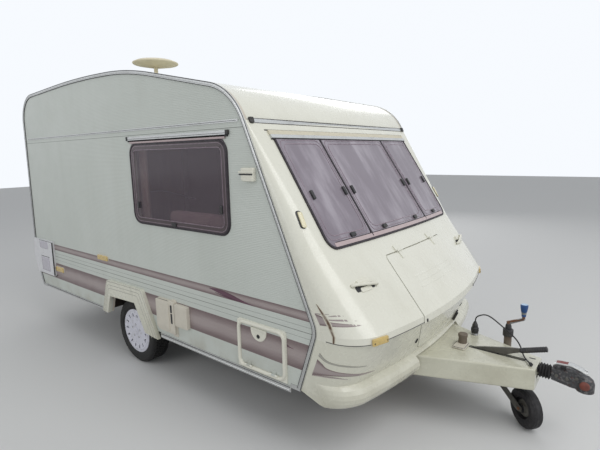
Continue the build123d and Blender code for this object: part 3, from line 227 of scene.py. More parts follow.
def plate(outline, levels, surface, inner=(0.7, 0.35, 0.0)):
    """A raised plate on a surface: rings of the outline at (inset, height) levels, then rings that
    shrink to its middle at the last height, and the same at the first height for its back."""
    levels = np.asarray(levels, float)
    normal = outward(outline)
    middle = outline.mean(0)
    rings = [outline - normal * inset for inset, height in levels]
    tops = [middle + (rings[-1] - middle) * share for share in inner]
    backs = [middle + (rings[0] - middle) * share for share in inner[::-1]]
    flat = np.array(backs + rings + tops)
    heights = [levels[0, 1]] * len(inner) + list(levels[:, 1]) + [levels[-1, 1]] * len(inner)
    height = np.broadcast_to(np.array(heights)[:, None], flat.shape[:2])
    return grid(surface(flat[..., 0], flat[..., 1], height), wrap_v=True)


def half_round(width, height, sink=0.0, steps=9):
    """Profile of a half-round bead: offset by the cosine and height by the sine of a half turn."""
    turn = np.linspace(math.pi, 0, steps)
    bead = np.stack([width / 2 * np.cos(turn), height * np.sin(turn)], 1)
    return np.vstack([bead, [(width / 2, -sink), (-width / 2, -sink)]])


def square_edge(inner, outer, low, high, soft=0.001):
    """Profile of a flat strip whose two upper edges are bevelled."""
    return [(inner, low), (inner, high - soft), (inner + soft, high), (outer - soft, high),
            (outer, high - soft), (outer, low)]


def tube(path, radius, sides=12, up=(0.0, 0.0, 1.0), flat=1.0):
    """Round bar along a path: at each point a circle square to the path, its first axis the path's
    direction crossed with a fixed up vector. Its ends are closed."""
    path = np.asarray(path, float)
    ahead = np.gradient(path, axis=0)
    ahead /= np.linalg.norm(ahead, axis=1)[:, None]
    first = np.cross(ahead, np.asarray(up, float))
    first /= np.linalg.norm(first, axis=1)[:, None]
    second = np.cross(first, ahead)
    turn = np.linspace(0, FULL_TURN, sides, endpoint=False)
    radius = np.broadcast_to(np.asarray(radius, float), len(path))[:, None, None]
    around = first[:, None] * np.cos(turn)[None, :, None] + second[:, None] * np.sin(turn)[None, :, None] * flat
    return grid(path[:, None] + radius * around, wrap_v=True, cap=True)


def lathe(profile, origin, axis, sides=32):
    """A profile of (radius, distance along the axis) pairs turned about an axis."""
    profile = np.asarray(profile, float)
    axis = np.asarray(axis, float) / np.linalg.norm(axis)
    first = np.cross(axis, (0.0, 0.0, 1.0) if abs(axis[2]) < 0.9 else (1.0, 0.0, 0.0))
    first /= np.linalg.norm(first)
    second = np.cross(axis, first)
    turn = np.linspace(0, FULL_TURN, sides, endpoint=False)
    around = np.cos(turn)[:, None] * first + np.sin(turn)[:, None] * second
    points = np.asarray(origin) + profile[:, None, 1:] * axis + profile[:, None, :1] * around[None]
    return grid(points, wrap_v=True, cap=True)


def block(low, high, soft=0.002):
    """Box between two corners with bevelled upper and lower rims: four rounded rectangles stacked."""
    low, high = np.minimum(low, high), np.maximum(low, high)
    middle, size = (low + high) / 2, high - low
    soft = min(soft, *(size / 2.2))
    insets = np.array([soft, 0, 0, soft])
    heights = np.array([low[2], low[2] + soft, high[2] - soft, high[2]])
    rings = [rounded_box(middle[0], middle[1], size[0] - 2 * i, size[1] - 2 * i, max(soft - i, 1e-5) + soft / 2, 4)
             for i in insets]
    points = np.concatenate([np.array(rings), np.broadcast_to(heights[:, None, None], (4, 16, 1))], -1)
    return grid(points, wrap_v=True, cap=True)


def bar(start, end, width, thick, up=(0.0, 0.0, 1.0), soft=0.0015):
    """Flat bar between two points: a bevelled rectangle carried along them."""
    start, end = np.asarray(start, float), np.asarray(end, float)
    ahead = (end - start) / np.linalg.norm(end - start)
    side = np.cross(ahead, up)
    side /= np.linalg.norm(side)
    rise = np.cross(side, ahead)
    shape = rounded_box(0, 0, width, thick, min(soft, width / 3, thick / 3), 3)
    section = shape[:, :1] * side + shape[:, 1:] * rise
    return grid(np.stack([start + section, end + section]), wrap_v=True, cap=True)


def turned(angle, axis, about=(0.0, 0.0, 0.0)):
    """4 by 4 frame that turns about an axis through a point."""
    shift = Matrix.Translation(Vector(about))
    return np.array(shift @ Matrix.Rotation(angle, 4, Vector(axis)) @ shift.inverted())


def shifted(x, y, z):
    return np.array(Matrix.Translation((x, y, z)))


def sta(x):
    """Station ahead of the axle, as a place along the caravan."""
    return AXLE + x


# Surfaces: each gives the points at two surface coordinates and a height above it.
def side_wall(side):
    return lambda x, z, out: np.stack([sta(x), side * (HALF + out) + 0 * x, z + 0 * x], -1)


def level_plane(height):
    return lambda x, y, out: np.stack([sta(x), y + 0 * x, height + out + 0 * x], -1)


def front_arcs(z, rows):
    """Plan of the front moulding at a height: middle and radius of the long arc through the two
    corners and the middle, and place and radius of the corner arc tangent to it and the side."""
    corner, middle, radius = (np.interp(z, rows[:, 0], rows[:, i]) for i in (1, 2, 3))
    rise = middle - corner
    long_radius = (HALF ** 2 + rise ** 2) / (2 * rise)
    centre = middle - long_radius
    corner_x = centre + np.sqrt((long_radius - radius) ** 2 - (HALF - radius) ** 2)
    return centre, long_radius, corner_x, radius


def front_station(y, z, rows):
    """Station of the front moulding's skin: on the long arc, or past its end on the corner arc."""
    centre, long_radius, corner_x, radius = front_arcs(z, rows)
    reach = np.abs(y)
    limit = (HALF - radius) * long_radius / (long_radius - radius)
    on_long = centre + np.sqrt(np.maximum(long_radius ** 2 - reach ** 2, 0))
    on_corner = corner_x + np.sqrt(np.maximum(radius ** 2 - (reach - HALF + radius) ** 2, 0))
    return np.where(reach <= limit, on_long, on_corner)


def front_face(rows):
    """Surface of the front moulding over (y, z), its normal from small steps across and up."""
    step = 0.001

    def surface(y, z, out):
        y, z, out = np.broadcast_arrays(y, z, out)
        station = front_station(y, z, rows)
        across = (front_station(y + step, z, rows) - front_station(y - step, z, rows)) / (2 * step)
        along = (front_station(y, z + step, rows) - front_station(y, z - step, rows)) / (2 * step)
        normal = np.stack([np.ones_like(y), -across, -along], -1)
        normal /= np.linalg.norm(normal, axis=-1)[..., None]
        return np.stack([sta(station), y, z], -1) + normal * out[..., None]

    return surface


def front_wrap(rows, side):
    """Surface round a front corner over (distance, z): the distance starts where the corner arc
    leaves the side, so it is negative on the flat side and grows towards the middle."""

    def surface(along, z, out):
        along, z, out = np.broadcast_arrays(along, z, out)
        centre, long_radius, corner_x, radius = front_arcs(z, rows)
        end = np.arctan2(-(HALF - radius), corner_x - centre)
        corner_length = radius * (end + math.pi / 2)
        turn = np.where(along < corner_length, along / radius - math.pi / 2,
                        end + (along - corner_length) / long_radius)
        turn = np.maximum(turn, -math.pi / 2)
        on_corner = along < corner_length
        pivot_x = np.where(on_corner, corner_x, centre) + np.minimum(along, 0)
        pivot_y = np.where(on_corner, -(HALF - radius), 0)
        reach = np.where(on_corner, radius, long_radius) + out
        return np.stack([sta(pivot_x + reach * np.cos(turn)), -side * (pivot_y + reach * np.sin(turn)), z], -1)

    return surface


def rear_face(y, z, out):
    """Surface of the rear end over (y, z): the side outline's rear edge, straight from corner to
    corner, its normal square to that edge."""
    y, z, out = np.broadcast_arrays(y, z, out)
    edge = OUTLINE_CORNERS[:4]
    station = np.interp(z, edge[:, 1], edge[:, 0])
    lean = (np.interp(z + 0.004, edge[:, 1], edge[:, 0]) - np.interp(z - 0.004, edge[:, 1], edge[:, 0])) / 0.008
    size = np.hypot(1.0, lean)
    return np.stack([sta(station) - out / size, y, z + out * lean / size], -1)


def curve(points, count):
    """Smooth line through points: each span is the cubic that passes through both of its ends, with
    the slope there of the chord between the neighbours."""
    points = np.asarray(points, float)
    slope = np.gradient(points, axis=0)
    share = np.linspace(0, len(points) - 1, count)
    start = np.minimum(share.astype(int), len(points) - 2)
    t = (share - start)[:, None]
    return ((2 * t ** 3 - 3 * t ** 2 + 1) * points[start] + (t ** 3 - 2 * t ** 2 + t) * slope[start]
            + (3 * t ** 2 - 2 * t ** 3) * points[start + 1] + (t ** 3 - t ** 2) * slope[start + 1])


def stroke(low, high, surface, thick=0.0008, sink=0.002, columns=48, rows=8):
    """Thin layer on a surface between a lower and an upper edge, both smooth lines; between them the
    grid runs evenly, and it is closed by the same grid sunk below the surface. Its map holds the
    share along and the share across."""
    edges = [curve(edge, columns) for edge in (low, high)]
    across = np.linspace(0, 1, rows)
    across = np.concatenate([across, across[::-1]])
    height = np.where(np.arange(2 * rows) < rows, thick, -sink)
    flat = edges[0][:, None] * (1 - across)[None, :, None] + edges[1][:, None] * across[None, :, None]
    form = grid(surface(flat[..., 0], flat[..., 1], np.broadcast_to(height, flat.shape[:2])), wrap_v=True, cap=True)
    share = np.broadcast_to(np.linspace(0, 1, columns)[:, None], flat.shape[:2])
    return form, np.stack([share, np.broadcast_to(across, flat.shape[:2])], -1).reshape(-1, 2)


def flat_bar(line, width, surface, thick, sink):
    """Flat strip with bevelled edges along an open line on a surface."""
    edge = square_edge(-width / 2, width / 2, -sink, thick, min(0.0008, thick / 3))
    return strip(line, edge, surface, closed=False)


def level_bar(start, end, height, width, surface, thick, sink=0.002, columns=40):
    """Flat bar at one height, from one place to another."""
    line = np.column_stack([np.linspace(start, end, columns), np.full(columns, height)])
    return flat_bar(line, width, surface, thick, sink)


def upright_bar(place, low, high, width, surface, thick, sink=0.002, columns=24):
    """Flat bar at one place, from one height to another."""
    line = np.column_stack([np.full(columns, place), np.linspace(low, high, columns)])
    return flat_bar(line, width, surface, thick, sink)


def pad(u, v, width, height, thick, surface, radius=0.004, soft=0.0015, sink=0.002):
    """Small raised plate with rounded corners and a bevelled rim."""
    return plate(rounded_box(u, v, width, height, radius, 5),
                 [(0, -sink), (0, thick - soft), (soft * 0.3, thick - soft * 0.3), (soft, thick)], surface)


def pads(surface, rows):
    """Several pads on one surface. A row is a pad's middle, width, height and thickness, and after
    that its radius, soft edge and sink where they differ from the usual ones."""
    return joined([pad(*row[:5], surface, *row[5:]) for row in rows])


def screw(origin, axis, radius=0.006, height=0.002):
    """Domed screw head with a sunk middle, turned about its axis."""
    return lathe([(radius, -height), (radius, 0.2 * height), (0.8 * radius, 0.8 * height), (0.45 * radius, height),
                  (0.40 * radius, 0.3 * height), (0.02 * radius, 0.3 * height)], origin, axis, 16)


def both(make):
    """A form made for the offside and for the nearside."""
    return make(-1) + make(1)


def joined(forms):
    """One form of several."""
    return sum(forms[1:], forms[0])


def layered(parts):
    """Joins (form, map) pairs into one form and one map."""
    return joined([form for form, share in parts]), np.vstack([share for form, share in parts])


def piece(name, form, finish, body="root", replaces=(), sharp=35.0, uv=None):
    """Makes an object of a form, with doubles merged, faces turned outward and edges over an angle
    kept sharp, and rides it on its body."""
    mesh = bpy.data.meshes.new(name)
    mesh.from_pydata(form.points.tolist(), [], [row for f in form.faces for row in f.tolist()])
    if uv is not None:
        layer = mesh.uv_layers.new(name="own_map")
        corners = np.zeros(len(mesh.loops), int)
        mesh.loops.foreach_get("vertex_index", corners)
        layer.data.foreach_set("uv", np.asarray(uv, float).reshape(-1, 2)[corners].ravel())
    shell = bmesh.new()
    shell.from_mesh(mesh)
    bmesh.ops.remove_doubles(shell, verts=shell.verts, dist=1e-6)
    bmesh.ops.dissolve_degenerate(shell, edges=shell.edges, dist=1e-7)
    bmesh.ops.recalc_face_normals(shell, faces=shell.faces)
    shell.to_mesh(mesh)
    shell.free()
    mesh.polygons.foreach_set("use_smooth", np.ones(len(mesh.polygons), bool))
    mesh.set_sharp_from_angle(angle=math.radians(sharp))
    obj = bpy.data.objects.new(name, mesh)
    bpy.context.scene.collection.objects.link(obj)
    mesh.materials.append(finishes[finish])
    if replaces:
        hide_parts(*replaces)
    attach(obj, body)
    return obj


class Finish:
    """A material in the making: its tree, its shader and short ways to lay things over it."""

    def __init__(self, name, colour, roughness, metallic=0.0, sockets=None):
        self.material = bpy.data.materials.new(name)
        self.material.use_nodes = True
        self.material.diffuse_color = (*colour, 1.0)
        self.tree = self.material.node_tree
        self.shader = self.tree.nodes["Principled BSDF"]
        self.colour, self.roughness, self.normal = (*colour, 1.0), roughness, None
        self.put(self.shader, {"Base Color": self.colour, "Roughness": roughness, "Metallic": metallic})
        self.put(self.shader, sockets or {})
        self.place = self.add("ShaderNodeTexCoord").outputs["Object"]

    def put(self, node, values):
        for key, value in values.items():
            if isinstance(value, bpy.types.NodeSocket):
                self.tree.links.new(value, node.inputs[key])
            else:
                node.inputs[key].default_value = value

    def add(self, kind, values=None, **settings):
        node = self.tree.nodes.new(kind)
        for key, value in settings.items():
            setattr(node, key, value)
        self.put(node, values or {})
        return node

    def math(self, operation, *values, clamp=False):
        return self.add("ShaderNodeMath", dict(enumerate(values)), operation=operation, use_clamp=clamp).outputs[0]

    def axis(self, name):
        split = self.add("ShaderNodeSeparateXYZ", {0: self.place})
        return split.outputs[name]

    def ramp(self, value, low, high, start=0.0, end=1.0):
        """The value carried smoothly from one range to another."""
        return self.add("ShaderNodeMapRange", {"Value": value, "From Min": low, "From Max": high, "To Min": start,
                                               "To Max": end}, interpolation_type="SMOOTHSTEP").outputs[0]

    def between(self, value, low, high, soft=0.002):
        """1 between two values and 0 outside, with soft edges."""
        return self.math("MULTIPLY", self.ramp(value, low - soft, low + soft),
                         self.ramp(value, high + soft, high - soft))

    def noise(self, scale, detail=4.0, stretch=(1.0, 1.0, 1.0), rough=0.55, place=None):
        mapped = self.add("ShaderNodeMapping", {"Vector": place or self.place, "Scale": stretch})
        return self.add("ShaderNodeTexNoise", {"Vector": mapped.outputs[0], "Scale": scale, "Detail": detail,
                                               "Roughness": rough}).outputs["Fac"]

    def mixed(self, factor, under, over):
        """Two colours mixed by a factor. The sockets 6 and 7 of a Mix node are its colours."""
        mix = self.tree.nodes.new("ShaderNodeMix")
        mix.data_type = "RGBA"
        for index, value in ((0, factor), (6, under), (7, over)):
            port = mix.inputs[index]
            if isinstance(value, bpy.types.NodeSocket):
                self.tree.links.new(value, port)
            else:
                port.default_value = value if len(value) == 4 else (*value, 1.0)
        return mix.outputs[2]

    def lay(self, factor, colour):
        """Lays a colour over what is there, by a factor."""
        self.colour = self.mixed(factor, self.colour, colour)

    def wear(self, factor, low, high):
        """Roughness from low to high by a factor."""
        self.roughness = self.ramp(factor, 0.25, 0.75, low, high)

    def bump(self, height, distance, strength=1.0):
        node = self.add("ShaderNodeBump", {"Height": height, "Distance": distance, "Strength": strength})
        if self.normal is not None:
            self.put(node, {"Normal": self.normal})
        self.normal = node.outputs[0]

    def done(self):
        if isinstance(self.colour, bpy.types.NodeSocket):
            self.put(self.shader, {"Base Color": self.colour})
        if isinstance(self.roughness, bpy.types.NodeSocket):
            self.put(self.shader, {"Roughness": self.roughness})
        if self.normal is not None:
            self.put(self.shader, {"Normal": self.normal})
        return self.material



def soiled(finish, tone, share, scale=3.0, stretch=(1.0, 1.0, 0.25)):
    """Lays a thin uneven film of dirt, drawn out down the surface."""
    film = finish.noise(scale, 6.0, stretch, 0.65)
    finish.lay(finish.ramp(film, 0.42, 0.78, 0.0, share), tone)


def ribbed_wall():
    """Fine horizontal ribs in pressed aluminium, the two stripes with dark edges and thin grooves
    outside; plain lining board inside, told apart by the distance from the middle."""
    tones = paints()
    finish = Finish("ribbed_wall", tones.wall, 0.38, sockets={"Specular IOR Level": 0.45})
    height = finish.axis("Z")
    finish.lay(finish.ramp(finish.noise(1.6, 3.0), 0.35, 0.7, 0.0, 0.35), paint(206, 210, 204))
    soiled(finish, paint(150, 152, 138), 0.10, 2.2, (2.2, 2.2, 0.22))
    # Darker towards the bottom, broken up by noise.
    darker_below = finish.math("MULTIPLY", finish.ramp(height, 0.62, 0.43),
                           finish.ramp(finish.noise(5.0, 5.0), 0.35, 0.7, 0.0, 0.45))
    finish.lay(darker_below, paint(158, 152, 134))
    grain = finish.noise(30.0, 3.0, (0.15, 1.0, 1.0))
    for low, high, edge in ((0.878, 0.938, 0.014), (0.563, 0.735, 0.040)):
        inside = finish.between(height, low, high, 0.0012)
        core = finish.between(height, low + edge, high - edge, edge)
        speck = finish.math("ADD", core, finish.ramp(grain, 0.3, 0.7, -0.10, 0.10), clamp=True)
        finish.lay(inside, finish.mixed(speck, tones.stripe_edge, tones.stripe))
    for line, half_width in ((0.808, 0.0016), (2.000, 0.0014), (0.842, 0.0008), (0.772, 0.0008)):
        finish.lay(finish.between(height, line - half_width, line + half_width, 0.0008), paint(88, 90, 84))
    pitch = sizes().rib_pitch
    inner = finish.ramp(finish.math("ABSOLUTE", finish.axis("Y")), HALF - 0.004, HALF - 0.008)
    finish.lay(inner, paint(204, 196, 182))
    wave = finish.math("SINE", finish.math("MULTIPLY", height, FULL_TURN / pitch))
    wave = finish.math("MULTIPLY", wave, finish.math("SUBTRACT", 1.0, inner))
    finish.wear(finish.noise(9.0, 4.0), 0.30, 0.46)
    finish.bump(wave, 0.0006, 0.55)
    finish.bump(finish.noise(260.0, 2.0), 0.0001, 0.4)
    return finish.done()


def gel_coat(name="gel_coat", colour=None, darker_below=False):
    """Glossy ivory moulding with faint mottling, run-off film and a slightly wavy skin."""
    finish = Finish(name, colour or paints().shell, 0.24, sockets={"Coat Weight": 0.35, "Coat Roughness": 0.12})
    finish.lay(finish.ramp(finish.noise(2.4, 3.0), 0.35, 0.7, 0.0, 0.30), paint(214, 212, 196))
    soiled(finish, paint(168, 164, 142), 0.14, 2.4, (1.6, 1.6, 0.40))
    # Where asked, darker towards the bottom, broken up by noise.
    if darker_below:
        rise = finish.ramp(finish.axis("Z"), 0.70, 0.42)
        finish.lay(finish.math("MULTIPLY", rise, finish.ramp(finish.noise(4.0, 5.0), 0.3, 0.75, 0.05, 0.42)),
                   paint(150, 144, 122))
    finish.wear(finish.noise(14.0, 5.0), 0.18, 0.36)
    finish.bump(finish.noise(5.0, 2.0), 0.0015, 0.12)
    return finish.done()


def bright_trim():
    """Anodised aluminium: fine drawn lines, dull spots and grime."""
    finish = Finish("bright_trim", paint(196, 197, 196), 0.30, metallic=0.85)
    finish.lay(finish.ramp(finish.noise(160.0, 5.0), 0.5, 0.8, 0.0, 0.35), paint(134, 132, 126))
    finish.lay(finish.ramp(finish.noise(7.0, 4.0), 0.45, 0.75, 0.0, 0.25), paint(150, 148, 142))
    finish.wear(finish.noise(90.0, 4.0), 0.24, 0.42)
    finish.bump(finish.noise(900.0, 2.0, (1.0, 1.0, 0.1)), 0.0001, 0.3)
    return finish.done()


def plain_plastic(name, colour, roughness=0.45, grain=420.0, dirt=None, share=0.35):
    """Moulded plastic: fine grain, uneven gloss and a little dirt."""
    finish = Finish(name, colour, roughness)
    finish.lay(finish.ramp(finish.noise(18.0, 4.0), 0.4, 0.75, 0.0, share), dirt or tuple(c * 0.72 for c in colour))
    finish.wear(finish.noise(30.0, 4.0), roughness * 0.8, min(roughness * 1.35, 1.0))
    finish.bump(finish.noise(grain, 2.0), 0.0003, 0.35)
    return finish.done()


def rubber(name="black_rubber", colour=(0.012, 0.011, 0.012)):
    """Dull rubber with a bloom of pale dust."""
    finish = Finish(name, colour, 0.62)
    finish.lay(finish.ramp(finish.noise(22.0, 6.0), 0.48, 0.8, 0.0, 0.22), paint(84, 80, 76))
    finish.wear(finish.noise(50.0, 3.0), 0.5, 0.8)
    finish.bump(finish.noise(300.0, 3.0), 0.0004, 0.5)
    return finish.done()


def road_tyre():
    """Tyre rubber: rings pressed into the side wall, dust in the low places."""
    finish = Finish("road_tyre", (0.007, 0.007, 0.007), 0.75)
    across, up = finish.axis("X"), finish.axis("Z")
    dx = finish.math("SUBTRACT", across, AXLE)
    dz = finish.math("SUBTRACT", up, TYRE_RADIUS)
    reach = finish.math("SQRT", finish.math("ADD", finish.math("MULTIPLY", dx, dx), finish.math("MULTIPLY", dz, dz)))
    finish.lay(finish.ramp(finish.noise(16.0, 6.0), 0.42, 0.75, 0.0, 0.35), paint(56, 53, 48))
    finish.lay(finish.between(reach, 0.182, 0.200, 0.006), paint(40, 38, 36))
    finish.bump(finish.math("SINE", finish.math("MULTIPLY", reach, FULL_TURN / 0.012)), 0.0008, 0.5)
    finish.bump(finish.noise(240.0, 3.0), 0.0005, 0.5)
    return finish.done()


def galvanised():
    """Zinc coating: pale flakes in cells, dulled and rusted at places."""
    finish = Finish("galvanised_steel", paint(150, 152, 152), 0.45, metallic=0.6)
    cells = finish.add("ShaderNodeTexVoronoi", {"Vector": finish.place, "Scale": 70.0})
    finish.lay(finish.ramp(cells.outputs["Distance"], 0.1, 0.7, 0.0, 0.5), paint(112, 114, 116))
    finish.lay(finish.ramp(finish.noise(9.0, 7.0), 0.58, 0.74, 0.0, 0.8), paint(96, 66, 46))
    finish.wear(finish.noise(20.0, 4.0), 0.38, 0.7)
    finish.bump(finish.noise(120.0, 4.0), 0.0005, 0.4)
    return finish.done()


def cast_metal():
    """Painted casting, black with silver wear and rust coming through."""
    finish = Finish("cast_metal", paint(66, 66, 68), 0.5, metallic=0.35)
    finish.lay(finish.ramp(finish.noise(70.0, 5.0), 0.48, 0.68, 0.0, 0.6), paint(132, 130, 128))
    finish.lay(finish.ramp(finish.noise(30.0, 8.0, rough=0.7), 0.56, 0.66, 0.0, 0.85), paint(92, 48, 36))
    finish.wear(finish.noise(60.0, 4.0), 0.35, 0.7)
    finish.bump(finish.noise(210.0, 5.0), 0.0008, 0.6)
    return finish.done()


def tinted_acrylic():
    """Tinted pane: the cabin shows through and the skin stays glossy. The front panes, which face the sky,
    are paler, a painted sky reflection, carry lighter streaks of painted reflection and show less of the cabin."""
    finish = Finish("tinted_acrylic", paints().acrylic, 0.09, sockets={"IOR": 1.49})
    # The front panes' paler colour is a painted sky reflection.
    front = finish.ramp(finish.axis("X"), sta(1.44), sta(1.50))
    finish.lay(front, paint(140, 131, 141))
    # Lighter upright streaks on the front panes: painted reflection.
    reflection_streaks = finish.noise(4.0, 5.0, (0.6, 1.6, 0.35))
    finish.lay(finish.math("MULTIPLY", finish.ramp(reflection_streaks, 0.42, 0.72, 0.0, 0.6), front), paint(200, 193, 202))
    finish.put(finish.shader, {"Alpha": finish.ramp(front, 0.0, 1.0, 0.38, 0.84)})
    finish.wear(finish.noise(8.0, 5.0), 0.06, 0.20)
    finish.bump(finish.noise(3.0, 2.0), 0.004, 0.15)
    return finish.done()


def brush_paint(name, core, edge):
    """Sprayed stripe: dark along both edges of the stroke and lighter between them, grained along it."""
    finish = Finish(name, core, 0.34)
    own = finish.add("ShaderNodeUVMap", uv_map="own_map").outputs[0]
    across = finish.add("ShaderNodeSeparateXYZ", {0: own}).outputs[1]
    off_middle = finish.math("ABSOLUTE", finish.math("SUBTRACT", across, 0.5))
    grain = finish.ramp(finish.noise(30.0, 3.0, (6.0, 0.4, 1.0), place=own), 0.3, 0.7, -0.08, 0.08)
    finish.lay(finish.ramp(finish.math("ADD", off_middle, grain), 0.22, 0.48), edge)
    finish.wear(finish.noise(14.0, 4.0), 0.26, 0.40)
    finish.bump(finish.noise(5.0, 2.0), 0.0015, 0.12)
    return finish.done()


def rust_run():
    """Rust run down a gel coat: brown in the middle, feathered out at its edges and broken up."""
    finish = Finish("rust_run", paint(212, 208, 192), 0.5)
    own = finish.add("ShaderNodeUVMap", uv_map="own_map").outputs[0]
    across = finish.add("ShaderNodeSeparateXYZ", {0: own}).outputs[1]
    middle = finish.ramp(finish.math("ABSOLUTE", finish.math("SUBTRACT", across, 0.5)), 0.48, 0.10)
    patches = finish.ramp(finish.noise(34.0, 5.0), 0.34, 0.60, 0.60, 1.0)
    finish.lay(finish.math("MULTIPLY", middle, patches), paint(86, 60, 38))
    finish.bump(finish.noise(200.0, 4.0), 0.0004, 0.5)
    return finish.done()


def lamp_lens(name, colour):
    """Ribbed lens: clear skin over coloured plastic, prisms across it."""
    finish = Finish(name, colour, 0.18, sockets={"Coat Weight": 0.6, "Coat Roughness": 0.05})
    finish.lay(finish.ramp(finish.noise(40.0, 4.0), 0.45, 0.8, 0.0, 0.5), tuple(c * 0.55 for c in colour))
    ribs = finish.math("SINE", finish.math("MULTIPLY", finish.axis("Z"), FULL_TURN / 0.006))
    finish.bump(ribs, 0.0006, 0.6)
    return finish.done()


def board(name="furniture_board", colour=(0.45, 0.31, 0.18)):
    """Foil-faced board with a fine upright grain."""
    finish = Finish(name, colour, 0.42)
    finish.lay(finish.ramp(finish.noise(34.0, 5.0, (1.0, 1.0, 0.06)), 0.35, 0.7, 0.0, 0.6),
               tuple(c * 0.6 for c in colour))
    finish.bump(finish.noise(120.0, 4.0, (1.0, 1.0, 0.1)), 0.0003, 0.3)
    return finish.done()


def cloth(name, colour, pattern, pitch):
    """Woven cloth read from the piece's own map: crossing threads, and a soft two-tone figure."""
    finish = Finish(name, colour, 0.85, sockets={"Sheen Weight": 0.35, "Sheen Roughness": 0.5})
    own = finish.add("ShaderNodeUVMap", uv_map="own_map").outputs[0]
    split = finish.add("ShaderNodeSeparateXYZ", {0: own})
    waves = [finish.math("SINE", finish.math("MULTIPLY", split.outputs[i], FULL_TURN / pitch)) for i in (0, 1)]
    weave = finish.math("MULTIPLY", *waves)
    figure = finish.noise(7.0, 3.0, place=own)
    finish.lay(finish.ramp(figure, 0.45, 0.62, 0.0, 0.7), pattern)
    finish.lay(finish.ramp(weave, -0.8, 0.8, 0.0, 0.25), tuple(c * 0.5 for c in colour))
    finish.bump(weave, 0.0006, 0.7)
    return finish.done()


def upholstery(name, colour, pattern):
    """Cushion cloth on object coordinates: a woven rib both ways and soft figures."""
    finish = Finish(name, colour, 0.9, sockets={"Sheen Weight": 0.4, "Sheen Roughness": 0.5})
    threads = finish.add("ShaderNodeTexWave", {"Vector": finish.place, "Scale": 130.0, "Distortion": 0.6})
    finish.lay(finish.ramp(finish.noise(12.0, 3.0), 0.44, 0.6, 0.0, 0.75), pattern)
    finish.lay(finish.ramp(threads.outputs["Fac"], 0.3, 0.7, 0.0, 0.3), tuple(c * 0.55 for c in colour))
    finish.bump(threads.outputs["Fac"], 0.0006, 0.6)
    finish.bump(finish.noise(9.0, 3.0), 0.004, 0.3)
    return finish.done()


def wheel_trim():
    """Lilac-white plastic outside, painted steel on the hidden inner side."""
    finish = Finish("wheel_trim", paint(214, 214, 224), 0.35)
    across = finish.math("ABSOLUTE", finish.axis("Y"))
    deep = finish.ramp(across, HALF - 0.092, HALF - 0.098)
    finish.lay(finish.ramp(finish.noise(26.0, 5.0), 0.45, 0.75, 0.0, 0.4), paint(150, 146, 144))
    finish.lay(deep, paint(52, 50, 50))
    finish.wear(finish.noise(30.0, 4.0), 0.28, 0.5)
    finish.bump(finish.noise(300.0, 2.0), 0.0003, 0.3)
    return finish.done()


FINISH_OF_NODE = {
    "ribbed_wall": ("offside_wall", "nearside_wall", "entry_door", "service_locker_door"),
    "gel_coat": ("roof_panel", "rear_panel", "front_panel", "front_locker_lid", "grab_handles", "hinge_leaves",
                 "service_locker_rim"),
    "low_gel_coat": ("front_bumper", "rear_bumper", "wheel_spats"),
    "cover_plastic": ("drawbar_cover",),
    "bright_trim": ("edge_rails", "window_rails", "side_mouldings"),
    "tinted_acrylic": ("windows", "door_window"),
    "road_tyre": ("offside_tyre", "nearside_tyre"),
    "wheel_trim": ("offside_wheel", "nearside_wheel"),
    "black_rubber": ("jockey_wheel", "coupling_bellows"),
    "galvanised_steel": ("chassis", "axle", "steady_brackets", "front_offside_steady", "front_nearside_steady",
                         "rear_offside_steady", "rear_nearside_steady", "jockey_clamp", "jockey_tube"),
    "worn_steel": ("jockey_fork",),
    "cast_metal": ("coupling_head", "overrun_housing"),
    "black_plastic": ("deck_posts", "tow_plug", "handbrake_lever"),
    "vent_plastic": ("appliance_vents",),
    "white_plastic": ("rear_lamps", "rooflight"),
    "aerial_plastic": ("tv_aerial",),
    "amber_lens": ("marker_lamps",),
    "furniture_board": ("bench_boxes", "kitchen_unit", "washroom_wall", "locker_box"),
    "underfloor": ("floor", "wheel_boxes"),
}


